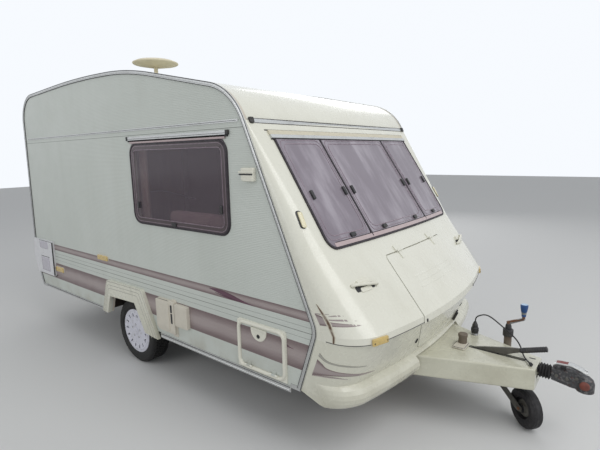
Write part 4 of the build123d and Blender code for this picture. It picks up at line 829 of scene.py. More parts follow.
class CARAVAN_OT_finishes(bpy.types.Operator):
    """Makes the finishes and puts one on each node of the frame that FINISH_OF_NODE names"""

    bl_idname = "caravan.finishes"
    bl_label = "Finishes"

    def execute(self, context):
        tones = paints()
        finishes.update({
            "ribbed_wall": ribbed_wall(),
            "gel_coat": gel_coat(),
            # The low mouldings and the drawbar cover are darker than the shell: partly their own tone, partly painted
            # shade for the dim light low down.
            "low_gel_coat": gel_coat("low_gel_coat", paint(216, 215, 200), True),
            "cover_plastic": gel_coat("cover_plastic", paint(208, 207, 189), True),
            "bright_trim": bright_trim(),
            "tinted_acrylic": tinted_acrylic(),
            "road_tyre": road_tyre(),
            "wheel_trim": wheel_trim(),
            "black_rubber": rubber(),
            "seal_rubber": rubber("seal_rubber", (0.022, 0.016, 0.022)),
            "galvanised_steel": galvanised(),
            "cast_metal": cast_metal(),
            "black_plastic": plain_plastic("black_plastic", (0.018, 0.018, 0.020), 0.5, dirt=paint(92, 88, 80)),
            "dark_line": plain_plastic("dark_line", (0.020, 0.020, 0.022), 0.6),
            "vent_plastic": plain_plastic("vent_plastic", paint(206, 200, 186), 0.5, share=0.2),
            "ivory_plastic": plain_plastic("ivory_plastic", paint(222, 220, 206), 0.4, share=0.2),
            "white_plastic": plain_plastic("white_plastic", paint(214, 214, 216), 0.4, share=0.25),
            "aerial_plastic": plain_plastic("aerial_plastic", paint(226, 218, 192), 0.5, share=0.2),
            "amber_lens": lamp_lens("amber_lens", paint(208, 180, 108)),
            "red_lens": lamp_lens("red_lens", paint(150, 18, 20)),
            "lilac_lens": lamp_lens("lilac_lens", paint(186, 182, 192)),
            "cream_lens": lamp_lens("cream_lens", paint(222, 214, 178)),
            "pane_rim": plain_plastic("pane_rim", paint(140, 124, 134), 0.25, share=0.4),
            "pane_border": plain_plastic("pane_border", paint(80, 69, 72), 0.16, share=0.3),
            "pane_sill": plain_plastic("pane_sill", paint(186, 168, 168), 0.3, share=0.3),
            "header_cream": plain_plastic("header_cream", paint(206, 199, 178), 0.45, share=0.3),
            "mauve_brush": brush_paint("mauve_brush", tones.stripe, tones.stripe_edge),
            "plum_brush": brush_paint("plum_brush", tones.plum, tuple(c * 0.7 for c in tones.plum)),
            "grey_brush": brush_paint("grey_brush", paint(168, 166, 156), paint(128, 126, 116)),
            "rust_run": rust_run(),
            "furniture_board": board(),
            "underfloor": board("underfloor", (0.06, 0.05, 0.045)),
            # Grey of the spat ribs' lines: painted shade.
            "rib_shade_grey": plain_plastic("rib_shade_grey", paint(150, 148, 138), 0.4, share=0.25),
            "red_paint": plain_plastic("red_paint", paint(120, 58, 54), 0.5, share=0.5),
            "blue_plastic": plain_plastic("blue_plastic", paint(34, 74, 128), 0.4, share=0.3),
            "rusty_steel": plain_plastic("rusty_steel", paint(112, 76, 52), 0.75, 260.0, paint(62, 46, 38), 0.8),
            "rusty_red": plain_plastic("rusty_red", paint(118, 62, 50), 0.6, 260.0, paint(60, 42, 38), 0.8),
            "rusty_post": plain_plastic("rusty_post", paint(112, 102, 90), 0.6, 120.0, paint(88, 68, 52), 0.7),
            "worn_steel": plain_plastic("worn_steel", paint(88, 86, 80), 0.5, 200.0, paint(58, 52, 46), 0.7),
            "pale_blue": plain_plastic("pale_blue", paint(176, 200, 222), 0.4),
            "blind_plastic": plain_plastic("blind_plastic", paint(206, 204, 200), 0.4),
            "worktop": plain_plastic("worktop", paint(196, 190, 180), 0.35),
            "cushion_cloth": upholstery("cushion_cloth", tones.cushion, paint(168, 120, 132)),
            "curtain_cloth": cloth("curtain_cloth", tones.curtain, paint(178, 128, 120), 0.003),
        })
        for finish, nodes in FINISH_OF_NODE.items():
            for node in nodes:
                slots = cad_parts[node].data.materials
                slots.clear()
                slots.append(finishes[finish])
        return {"FINISHED"}


# Camera fitted to the photograph: yaw, pitch and roll in degrees, place in metres, lens in mm.
CAMERA_TURN = (128.8676, -9.4144, -1.1908)
CAMERA_PLACE = (2.76032, -2.91586, 1.83402)
CAMERA_LENS = 25.807
FLOOR_REACH = 30.0
# Lights: name, power, size, place and the point they face.
LIGHTS = (
    ("key_light", 300.0, 6.0, (6.5, -1.0, 6.5), (0.4, 0.0, 1.0)),
    ("side_light", 120.0, 5.0, (-2.0, -8.0, 4.5), (-0.5, -1.0, 1.2)),
    ("far_light", 110.0, 5.0, (-3.0, 7.5, 4.5), (0.0, 1.0, 1.2)),
)


class CARAVAN_OT_stage(bpy.types.Operator):
    """Sets up the camera, the soft studio light and the pale floor"""

    bl_idname = "caravan.stage"
    bl_label = "Stage"

    def execute(self, context):
        yaw, pitch, roll = (math.radians(a) for a in CAMERA_TURN)
        forward = Vector((math.cos(yaw) * math.cos(pitch), math.sin(yaw) * math.cos(pitch), math.sin(pitch)))
        level = forward.cross(Vector((0, 0, 1))).normalized()
        right = math.cos(roll) * level + math.sin(roll) * level.cross(forward)
        rise = right.cross(forward)
        data = bpy.data.cameras.new("photo_camera")
        data.lens, data.sensor_width = CAMERA_LENS, 36.0
        data.clip_start, data.clip_end = 0.05, 200.0
        camera = bpy.data.objects.new("photo_camera", data)
        camera.matrix_world = Matrix((right, rise, -forward)).transposed().to_4x4()
        camera.location = CAMERA_PLACE
        scene = context.scene
        scene.collection.objects.link(camera)
        scene.camera = camera
        scene.view_settings.view_transform = "Standard"

        world = bpy.data.worlds.new("studio")
        scene.world = world
        world.use_nodes = True
        tree = world.node_tree
        background = tree.nodes["Background"]
        background.inputs["Color"].default_value = (0.93, 0.96, 1.0, 1.0)
        rays = tree.nodes.new("ShaderNodeLightPath")
        seen = tree.nodes.new("ShaderNodeMath")
        seen.operation = "MAXIMUM"
        tree.links.new(rays.outputs["Is Camera Ray"], seen.inputs[0])
        tree.links.new(rays.outputs["Is Glossy Ray"], seen.inputs[1])
        either = tree.nodes.new("ShaderNodeMath")
        either.operation = "MAXIMUM"
        tree.links.new(seen.outputs[0], either.inputs[0])
        tree.links.new(rays.outputs["Is Transmission Ray"], either.inputs[1])
        strength = tree.nodes.new("ShaderNodeMapRange")
        tree.links.new(either.outputs[0], strength.inputs["Value"])
        strength.inputs["To Min"].default_value = 0.50
        strength.inputs["To Max"].default_value = 1.0
        tree.links.new(strength.outputs[0], background.inputs["Strength"])

        for name, power, size, place, aim in LIGHTS:
            lamp = bpy.data.lights.new(name, "AREA")
            lamp.energy, lamp.size = power, size
            light = bpy.data.objects.new(name, lamp)
            light.location = place
            light.rotation_mode = "QUATERNION"
            light.rotation_quaternion = (Vector(aim) - Vector(place)).to_track_quat("-Z", "Y")
            scene.collection.objects.link(light)

        reach = FLOOR_REACH
        floor = bpy.data.meshes.new("studio_floor")
        floor.from_pydata([(-reach, -reach, 0), (reach, -reach, 0), (reach, reach, 0), (-reach, reach, 0)], [],
                          [(0, 1, 2, 3)])
        ground = bpy.data.objects.new("studio_floor", floor)
        scene.collection.objects.link(ground)
        cover = Finish("studio_floor", (0.66, 0.66, 0.65), 0.9)
        floor.materials.append(cover.done())
        return {"FINISHED"}


# Car lead: the route's points as station, y and height.
LEAD_DIAMETER = 0.009
LEAD_POINTS = np.array([
    (2.575, 0.222, 0.590), (2.575, 0.222, 0.622), (2.610, 0.217, 0.648), (2.650, 0.208, 0.664),
    (2.695, 0.196, 0.655), (2.750, 0.177, 0.628), (2.808, 0.151, 0.602), (2.866, 0.125, 0.574),
    (2.904, 0.100, 0.542), (2.929, 0.062, 0.507), (2.950, 0.018, 0.499), (2.975, -0.024, 0.501),
    (2.998, -0.058, 0.503),
])


class CARAVAN_OT_lead(bpy.types.Operator):
    """Lays the car lead from its gland over the deck to the parked plug"""

    bl_idname = "caravan.lead"
    bl_label = "Car lead"

    def execute(self, context):
        data = bpy.data.curves.new("car_lead", "CURVE")
        data.dimensions = "3D"
        spline = data.splines.new("NURBS")
        spline.points.add(len(LEAD_POINTS) - 1)
        places = np.column_stack([sta(LEAD_POINTS[:, 0]), LEAD_POINTS[:, 1:], np.ones(len(LEAD_POINTS))])
        spline.points.foreach_set("co", places[::-1].ravel())
        spline.order_u = 3
        spline.use_endpoint_u = True
        spline.resolution_u = 12
        data.bevel_depth = LEAD_DIAMETER / 2
        data.bevel_resolution = 3
        data.use_fill_caps = True
        data.materials.append(finishes["black_rubber"])
        lead = bpy.data.objects.new("car_lead", data)
        context.scene.collection.objects.link(lead)
        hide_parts("tow_lead")
        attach(lead, "root")
        return {"FINISHED"}


# Heights above the skin, and places along and across, in metres.
GLASS = 0.0083
SIDE_RAIL_Z = 1.975
POD_DEPTH = 0.026
SPAT_DEPTH = 0.030
HUB_INSET = 0.150
GRAB_Y = 0.798
PLUG_X, JOCKEY_X, PARKED_Y = 2.575, 2.800, 0.222
CRANK_REACH = 0.092
JOCKEY_TRAIL, JOCKEY_TURN, JOCKEY_RADIUS = 0.235, -43.0, 0.132
# Rows of tread blocks: place across, width and share of a pitch they are turned by.
TREAD_ROWS = ((-0.0555, 0.022, 0.0), (-0.028, 0.021, 0.5), (0.0, 0.021, 0.0), (0.028, 0.021, 0.5),
              (0.0555, 0.022, 0.0))


def spots(places):
    """Frames that shift a form made at the origin to each of several places."""
    places = np.asarray(places, float)
    frames = np.broadcast_to(np.eye(4), (len(places), 4, 4)).copy()
    frames[:, :3, 3] = places
    return frames


def bent(points, radius, steps=8):
    """Open line through points whose inner corners are arcs."""
    radii = np.full(len(points), radius)
    radii[[0, -1]] = 0
    return rounded(points, radii, steps)[steps - 1:1 - steps]


def refined(line, step=0.03, closed=True):
    """The same line with points added so that none lie further apart than a step."""
    ring_line = np.vstack([line, line[:1]]) if closed else np.asarray(line)
    run = np.concatenate([[0], np.cumsum(np.linalg.norm(np.diff(ring_line, axis=0), axis=1))])
    marks = np.sort(np.concatenate([run, np.arange(step / 2, run[-1], step)]))
    marks = marks[np.concatenate([[True], np.diff(marks) > 1e-4])]
    points = np.column_stack([np.interp(marks, run, ring_line[:, i]) for i in (0, 1)])
    return points[:-1] if closed else points


def edge_line(offset=0.0):
    """The side outline from the front foot over the roof to the rear foot, moved outward."""
    line = rounded(OUTLINE_CORNERS[::-1], OUTLINE_RADII[::-1], 14)[13:-13]
    line = refined(line, 0.06, closed=False)
    return line + outward(line, closed=False) * offset


def seal_profile(width, height=0.0135):
    """Section of a window rubber: a lip over the pane's rim, then a slope down to the wall."""
    return [(-0.006, 0.0075), (-0.006, height - 0.0015), (-0.004, height), (width * 0.45, height - 0.001),
            (width * 0.8, 0.006), (width, 0.0008), (width, -0.002), (-0.002, -0.002), (-0.002, 0.0075)]


def pane_set(name, outline, surface, body="root", inset=0.040):
    """Rubber seal, dark printed border and inner line of one pane."""
    outline = refined(outline)
    width = sizes().seal_width
    piece(f"{name}_seal", strip(outline, seal_profile(width), surface), "seal_rubber", body)
    piece(f"{name}_border",
          strip(outline, square_edge(-inset, -0.003, GLASS - 0.001, GLASS + 0.0008, 0.0004), surface),
          "pane_border", body)
    lines = (strip(outline, square_edge(-inset - 0.006, -inset - 0.001, GLASS - 0.001, GLASS + 0.0014, 0.0005),
                   surface)
             + strip(outline, square_edge(-0.017, -0.013, GLASS - 0.001, GLASS + 0.0016, 0.0005), surface))
    piece(f"{name}_lines", lines, "pane_rim", body)


class CARAVAN_OT_side_windows(bpy.types.Operator):
    """Fits the side windows' seals, borders, stays, catches and rail caps"""

    bl_idname = "caravan.side_windows"
    bl_label = "Side windows"

    def execute(self, context):
        x, z, width, height, radius = SIDE_WINDOW
        for side, name in ((-1, "offside"), (1, "nearside")):
            pane_set(f"{name}_window", rounded_box(x, z - 0.010, width, height - 0.020, radius), side_wall(side))
        left, right = x - width / 2, x + width / 2
        caps = both(lambda side: pads(side_wall(side), [(end, SIDE_RAIL_Z, 0.022, 0.031, 0.0185)
                                                        for end in (left - 0.022, right + 0.022)]))
        grooves = both(lambda side: level_bar(left - 0.01, right + 0.01, SIDE_RAIL_Z - 0.004, 0.0035, side_wall(side),
                                              0.0165,
                                              -0.015)
                       + level_bar(left - 0.02, right + 0.02, SIDE_RAIL_Z - 0.019, 0.012, side_wall(side), 0.010))
        tops = both(lambda side: level_bar(left + 0.004, right - 0.004, 1.9475, 0.020, side_wall(side), 0.0100))
        piece("side_pane_tops", tops, "pane_sill")
        piece("side_rail_caps", caps, "black_plastic")
        piece("side_rail_grooves", grooves, "dark_line")
        catches = both(lambda side: sum((pad(u, v, w, h, 0.020, side_wall(side), 0.005) for u, v, w, h in (
            (right - 0.060, z - 0.150, 0.026, 0.052), (left + 0.075, z - 0.175, 0.026, 0.050))),
            pad(x - 0.030, z - height / 2 + 0.020, 0.052, 0.028, 0.018, side_wall(side), 0.005)))
        piece("side_window_catches", catches, "black_plastic")
        stay = curve([(x - 0.345, z - 0.065), (x - 0.15, z - 0.055), (x + 0.20, z - 0.095)], 24)
        stays = both(lambda side: tube(side_wall(side)(stay[:, 0], stay[:, 1], -0.012), 0.006, 10, flat=0.7))
        piece("side_window_stays", stays, "black_plastic")
        return {"FINISHED"}


class CARAVAN_OT_front_windows(bpy.types.Operator):
    """Fits the front windows' hinge rail, seals, painted shadow line, bars, catches and stays"""

    bl_idname = "caravan.front_windows"
    bl_label = "Front windows"

    def execute(self, context):
        face = front_face(UPPER_FRONT)
        low, high = FRONT_PANE_LOW, FRONT_PANE_HIGH
        outer = 0.925
        # The header's beige, darker than the mouldings, is partly painted shade of the recess above the hinge rail.
        piece("front_window_header", level_bar(-outer, outer, 1.9640, 0.028, face, 0.0110), "header_cream")
        piece("front_hinge_rail", level_bar(-outer, outer, 1.9380, 0.022, face, 0.0150), "bright_trim")
        piece("front_window_sill", level_bar(-0.845, 0.845, 1.2890, 0.026, face, 0.0098), "pane_sill")
        # The dark frame round the panes is the rubber seal and partly painted shade of the moulding's recess; the bar
        # at 1.9815 is a painted shadow line above the hinge rail.
        around = refined(bent([(-0.900, 1.935), (-0.900, 1.273), (0.900, 1.273), (0.900, 1.935)], 0.070, 10), 0.03,
                         False)
        dark = (strip(around, square_edge(-0.006, 0.006, -0.002, 0.0112, 0.001), face, closed=False)
                + level_bar(-outer - 0.02, outer + 0.02, 1.9815, 0.008, face, 0.0016)
                + level_bar(-outer, outer, 1.9250, 0.005, face, 0.0105)
                + joined([level_bar(-1.03, 1.03, z, 0.003, face, 0.0030) for z in (2.0250, 2.0530)]))
        dark += sum((upright_bar(s * 0.437, low - 0.02, high, 0.013, face, 0.0098) for s in (-1, 1)),
                    level_bar(-0.83, 0.83, low - 0.001, 0.004, face, 0.0102))
        piece("front_window_seals_and_shadows", dark, "seal_rubber")
        ends = both(lambda side: pad(side * 1.022, 2.040, 0.034, 0.040, 0.014, face, 0.008, 0.003))
        piece("front_joint_ends", ends, "black_plastic")
        rims = []
        for middle, width in FRONT_PANES:
            for inset, line in ((0.012, 0.004), (0.034, 0.005)):
                box = rounded_box(middle, (low + high) / 2, width - 2 * inset, high - low - 2 * inset, 0.045)
                rims.append(strip(refined(box), square_edge(-line / 2, line / 2, 0.0070, 0.0096, 0.0005), face))
        piece("front_pane_lines", joined(rims), "pane_rim")
        places = [(s * y, 1.577, 0.022, 0.052) for s in (-1, 1) for y in (0.388, 0.488, 0.825)]
        places += [(y, 1.322, 0.050, 0.022) for y in (-0.645, -0.256, 0.244, 0.645)]
        catches = pads(face, [(*place, 0.022, 0.005) for place in places])
        piece("front_window_catches", catches, "black_plastic")
        lines = [curve(points, 20) for points in (((0.150, 1.614), (0.245, 1.522), (0.365, 1.440)),
                                                  ((0.595, 1.673), (0.700, 1.560), (0.803, 1.435)))]
        stays = [tube(face(line[:, 0], line[:, 1], -0.012), 0.004, 8) for line in lines]
        piece("front_window_stays", stays[0] + stays[1], "black_plastic")
        return {"FINISHED"}


class CARAVAN_OT_rear_window(bpy.types.Operator):
    """Fits the rear window's rubber and catches, a blank number plate, the seams and the handles"""

    bl_idname = "caravan.rear_window"
    bl_label = "Rear window"

    def execute(self, context):
        y, z, width, height, radius = REAR_WINDOW
        pane_set("rear_window", rounded_box(y, z, width, height, radius), rear_face)
        catches = [pad(s * 0.36, z - height / 2 + 0.030, 0.050, 0.026, 0.020, rear_face, 0.005) for s in (-1, 1)]
        piece("rear_window_catches", catches[0] + catches[1], "black_plastic")
        piece("rear_plate_holder", pad(0, 0.640, 0.540, 0.132, 0.008, rear_face, 0.010), "black_plastic")
        piece("rear_plate", pad(0, 0.640, 0.520, 0.111, 0.0105, rear_face, 0.008, sink=-0.006), "white_plastic")
        seams = joined([level_bar(-1.0, 1.0, z, 0.004, rear_face, 0.0008) for z in (2.187, 0.925)])
        piece("rear_seams", seams, "dark_line")
        heights, standoff = np.array([1.02, 1.03, 1.19, 1.20]), np.array([-0.002, 0.030, 0.030, -0.002])
        grips = [tube(rear_face(np.full(4, s * 0.80), heights, standoff), 0.010, 12, up=(0.0, 1.0, 0.0))
                 for s in (-1, 1)]
        piece("rear_grab_handles", grips[0] + grips[1], "ivory_plastic")
        return {"FINISHED"}


class CARAVAN_OT_rails(bpy.types.Operator):
    """Lays the dark insert and screws along the edge rails and the grooves of the side strips"""

    bl_idname = "caravan.rails"
    bl_label = "Rails and strips"

    def execute(self, context):
        insert = both(lambda side: strip(edge_line(0.0005), square_edge(0.001, 0.0062, 0.004, 0.0070, 0.001),
                                         side_wall(side), False)
                      + strip(edge_line(-0.020), square_edge(-0.0022, 0.0022, -0.001, 0.0066, 0.001), side_wall(side),
                              False))
        piece("edge_rail_insert", insert, "dark_line")
        ridge = both(lambda side: strip(edge_line(-0.008), half_round(0.011, 0.0022, 0.003, 7)
                                        + np.array([0, 0.0055]),
                                        side_wall(side), closed=False))
        piece("edge_rail_ridge", ridge, "bright_trim")
        strips = ((-1.740, 1.500, 2.042, 0.0035, 0.0056), (-1.665, -0.395, 0.4475, 0.0060, 0.0098),
                  (0.520, 1.875, 0.4225, 0.0050, 0.0068))
        grooves = both(lambda side: sum((level_bar(*row[:4], side_wall(side), row[4], -0.004) for row in strips[1:]),
                                        level_bar(*strips[0][:4], side_wall(side), strips[0][4], -0.004)))
        piece("side_strip_grooves", grooves, "dark_line")
        beads = both(lambda side: strip(np.array([(0.520, 0.403), (1.200, 0.403), (1.872, 0.403)]),
                                        half_round(0.012, 0.005, 0.003, 9) + np.array([0, 0.0055]), side_wall(side),
                                        closed=False))
        piece("sill_beads", beads, "bright_trim")
        stations = np.linspace(-1.60, 1.40, 13)
        heads = both(lambda side: screw((0, 0, 0), (0, side, 0), 0.0045, 0.0016).copies(spots(
            side_wall(side)(stations, np.full(13, 2.0462), 0.005 + 0 * stations))))
        piece("cant_screws", heads, "bright_trim")
        return {"FINISHED"}


class CARAVAN_OT_stripes(bpy.types.Operator):
    """Paints the strokes of the stripes round the front corners and on the sides, and the rust run"""

    bl_idname = "caravan.stripes"
    bl_label = "Stripes"

    def execute(self, context):
        upper = (
            (((-0.030, 0.878), (0.015, 0.884), (0.081, 0.889), (0.141, 0.891), (0.201, 0.893), (0.226, 0.8955)),
             ((-0.030, 0.938), (0.010, 0.934), (0.047, 0.912), (0.109, 0.909), (0.175, 0.904), (0.226, 0.8965))),
            (((0.050, 0.9185), (0.134, 0.9200), (0.210, 0.9180)),
             ((0.050, 0.9235), (0.139, 0.9290), (0.210, 0.9190))),
            (((0.060, 0.9395), (0.126, 0.9440), (0.174, 0.9465)),
             ((0.060, 0.9415), (0.110, 0.9500), (0.174, 0.9480))),
            (((-0.030, 0.9380), (0.020, 0.9440), (0.068, 0.9510)),
             ((-0.030, 0.9420), (0.020, 0.9480), (0.068, 0.9525))),
        )
        lower = (
            (((-0.030, 0.560), (0.012, 0.572), (0.082, 0.582), (0.158, 0.583), (0.243, 0.574), (0.324, 0.562),
              (0.395, 0.5530)),
             ((-0.030, 0.668), (0.010, 0.649), (0.042, 0.630), (0.096, 0.617), (0.171, 0.604), (0.268, 0.583),
              (0.395, 0.5550))),
            (((-0.030, 0.555), (0.031, 0.566), (0.111, 0.569), (0.190, 0.5600)),
             ((-0.030, 0.561), (0.029, 0.574), (0.109, 0.577), (0.190, 0.5615))),
        )
        grey = (((-0.030, 0.690), (0.027, 0.666), (0.095, 0.655), (0.157, 0.648), (0.290, 0.6290)),
                ((-0.030, 0.712), (0.025, 0.680), (0.093, 0.665), (0.154, 0.658), (0.290, 0.6315)))
        mauve, pale = [], []
        for side in (-1, 1):
            mauve += [stroke(*edges, front_wrap(UPPER_FRONT, side)) for edges in upper]
            mauve += [stroke(*edges, front_wrap(LOWER_FRONT, side)) for edges in lower]
            pale.append(stroke(*grey, front_wrap(LOWER_FRONT, side)))
        form, own = layered(mauve)
        piece("front_strokes", form, "mauve_brush", uv=own)
        form, own = layered(pale)
        piece("front_pale_crescents", form, "grey_brush", uv=own)
        plum = (
            (((1.150, 0.921), (1.260, 0.902), (1.380, 0.886), (1.500, 0.880), (1.585, 0.8795)),
             ((1.150, 0.923), (1.260, 0.930), (1.380, 0.916), (1.500, 0.892), (1.585, 0.8805))),
            (((1.210, 0.900), (1.330, 0.884), (1.430, 0.881)), ((1.210, 0.902), (1.330, 0.893), (1.430, 0.8825))),
            (((1.736, 0.709), (1.800, 0.699), (1.870, 0.690)), ((1.736, 0.711), (1.800, 0.708), (1.870, 0.692))),
            (((1.760, 0.694), (1.830, 0.685), (1.905, 0.679)), ((1.760, 0.696), (1.830, 0.693), (1.905, 0.681))),
        )
        form, own = layered([stroke(*edges, side_wall(side)) for side in (-1, 1) for edges in plum])
        piece("plum_strokes", form, "plum_brush", uv=own)
        run_low = ((0.022, 0.792), (0.022, 0.850), (0.020, 0.900), (0.015, 0.950), (0.010, 0.998))
        run_high = ((0.040, 0.792), (0.048, 0.850), (0.056, 0.900), (0.042, 0.950), (0.020, 0.998))
        form, own = stroke(run_low, run_high, front_wrap(UPPER_FRONT, -1), 0.0012)
        piece("rust_run", form, "rust_run", uv=own)
        return {"FINISHED"}


class CARAVAN_OT_lamps(bpy.types.Operator):
    """Fits the side reflectors, the corner markers, the lip lenses and the rear lamps"""

    bl_idname = "caravan.lamps"
    bl_label = "Lamps"

    def execute(self, context):
        side_places = ((-0.333, 0.936, 0.184, 0.052), (-1.292, 0.678, 0.180, 0.058))
        upper = front_face(UPPER_FRONT)
        lens_y = HALF - 0.169
        ambers = both(lambda side: sum((pad(x, z, w - 0.010, h - 0.008, 0.016, side_wall(side), 0.008, 0.003)
                                        for x, z, w, h in side_places),
                                       pad(side * lens_y, 0.803, 0.104, 0.039, 0.015, upper, 0.005)))
        piece("amber_lenses", ambers, "amber_lens", replaces=["marker_lamps"])
        bases = both(lambda side: sum((pad(x, z, w, h, 0.006, side_wall(side), 0.010) for x, z, w, h in side_places),
                                      pad(side * lens_y, 0.803, 0.110, 0.044, 0.004, upper, 0.006)))
        piece("lens_bases", bases, "vent_plastic")
        heads = [screw(upper(side * (lens_y + s * 0.042), 0.798, 0.0145).reshape(3), (0.75, side * 0.66, 0.1), 0.0045)
                 for side in (-1, 1) for s in (-1, 1)]
        piece("lens_screws", joined(heads), "dark_line")
        corner = both(lambda side: pad(0.130, 1.459, 0.026, 0.088, 0.018, front_wrap(UPPER_FRONT, side), 0.010,
                                       0.004))
        piece("marker_lenses", corner, "cream_lens")
        rims = both(lambda side: pad(0.126, 1.459, 0.036, 0.098, 0.007, front_wrap(UPPER_FRONT, side), 0.014))
        piece("marker_rims", rims, "black_plastic")
        pods = both(lambda side: pads(side_wall(side), [
            (x, z, 0.200, h, POD_DEPTH + 0.0035, 0.010, 0.003)
            for x, z, h in ((-1.598, 0.912, 0.078), (-1.590, 0.700, 0.150))]))
        piece("side_lamp_lenses", pods, "lilac_lens")
        lines = both(lambda side: bar((sta(-1.4005), side * (HALF + POD_DEPTH - 0.003), 0.598),
                                      (sta(-1.3875), side * (HALF + POD_DEPTH - 0.003), 0.957), 0.008, 0.010,
                                      (0, 1, 0))
                     + level_bar(-1.705, -1.400, 0.958, 0.005, side_wall(side), POD_DEPTH + 0.001)
                     + level_bar(-1.690, -1.480, 0.784, 0.006, side_wall(side), POD_DEPTH + 0.001)
                     + level_bar(-1.750, -1.390, 0.589, 0.008, side_wall(side), 0.012))
        piece("lamp_shadow_lines", lines, "dark_line")
        places = ((-1.640, 0.820), (-1.440, 0.930), (-1.435, 0.620))
        heads = both(lambda side: screw((0, 0, 0), (0, side, 0), 0.006).copies(spots(
            [(sta(x), side * (HALF + POD_DEPTH), z) for x, z in places])))
        piece("lamp_screws", heads, "bright_trim")
        rear = HALF - 0.120
        for name, finish, z, height in (
                ("rear_stop_lenses", "red_lens", 0.700, 0.110),
                ("rear_turn_lenses", "amber_lens", 0.815, 0.060),
                ("rear_white_lenses", "cream_lens", 0.875, 0.050)):
            form = both(lambda side: pad(side * rear, z, 0.128, height, 0.0225, rear_face, 0.008, 0.001))
            piece(name, form, finish)
        return {"FINISHED"}


class CARAVAN_OT_side_fittings(bpy.types.Operator):
    """Fits the painted shade lines of the spat ribs, vent covers, hatch surround and handle and the side connection
    box
    """

    bl_idname = "caravan.side_fittings"
    bl_label = "Side fittings"

    def execute(self, context):
        outer = np.array([(-0.380, 0.435), (-0.262, 0.745), (0.305, 0.755), (0.500, 0.375)])
        inner = np.array([(-0.312, 0.360), (-0.222, 0.602), (0.182, 0.620), (0.345, 0.340)])
        # The spat ribs are drawn as grey lines just above the spat: painted shade of the ribs.
        bead = square_edge(-0.0022, 0.0022, SPAT_DEPTH - 0.004, SPAT_DEPTH + 0.0002, 0.0001)
        ribs = [strip(refined(bent((outer * (1 - share) + inner * share) + (0, 0.012), 0.030), 0.05, False), bead,
                      side_wall(side), closed=False) for side in (-1, 1) for share in (0.14, 0.36, 0.58)]
        piece("spat_rib_shade_lines", joined(ribs), "rib_shade_grey")

        wall = side_wall(-1)
        covers = pads(wall, ((0.592, 0.612, 0.168, 0.236, 0.0300, 0.010, 0.003),
                             (0.628, 0.606, 0.222, 0.262, 0.0240, 0.012, 0.002),
                             (0.826, 0.640, 0.152, 0.176, 0.0290, 0.010, 0.003),
                             (0.720, 0.600, 0.060, 0.300, 0.006, 0.012)))
        piece("vent_covers", covers, "vent_plastic", replaces=["appliance_vents"])
        slots = (pads(wall, ((0.703, 0.676, 0.022, 0.062, 0.0250, 0.003, 0.0005, -0.018),
                             (0.703, 0.598, 0.022, 0.080, 0.0250, 0.003, 0.0005, -0.018)))
                 + level_bar(0.522, 0.672, 0.7345, 0.003, wall, 0.0250, -0.018)
                 + upright_bar(0.7440, 0.560, 0.722, 0.004, wall, 0.012))
        piece("vent_slots", slots, "dark_line")

        loop = refined(rounded_box(*HATCH, 0.045))
        piece("hatch_surround", strip(loop, half_round(0.028, 0.017, -0.004, 11) + np.array([0, 0.005]), wall),
              "ivory_plastic")
        turn = np.linspace(math.pi, 2 * math.pi, 22)
        disc = np.vstack([np.column_stack([1.626 + 0.068 * np.cos(turn), 0.728 + 0.070 * np.sin(turn)]),
                          [(1.694, 0.742), (1.558, 0.742)]])
        piece("hatch_handle",
              plate(disc, [(0, 0.006), (0, 0.012), (0.002, 0.0145), (0.010, 0.0145), (0.013, 0.0125)], wall),
              "ivory_plastic", "service_hatch")
        lock = lathe([(0.013, -0.002), (0.013, 0.003), (0.011, 0.0045), (0.006, 0.0045), (0.005, 0.001),
                      (0.0002, 0.001)],
                     side_wall(-1)(1.624, 0.690, 0.0125), (0, -1, 0), 20)
        piece("hatch_lock", lock, "dark_line", "service_hatch")
        box = pads(wall, ((1.590, 1.7180, 0.104, 0.078, 0.024, 0.006, 0.003),
                          (1.582, 1.7310, 0.122, 0.012, 0.030, 0.004), (1.600, 1.6860, 0.086, 0.020, 0.028, 0.005)))
        piece("box_body", box, "ivory_plastic")
        piece("box_slot", pad(1.580, 1.7170, 0.116, 0.009, 0.0252, wall, 0.002, 0.0005, sink=-0.015), "dark_line")
        return {"FINISHED"}


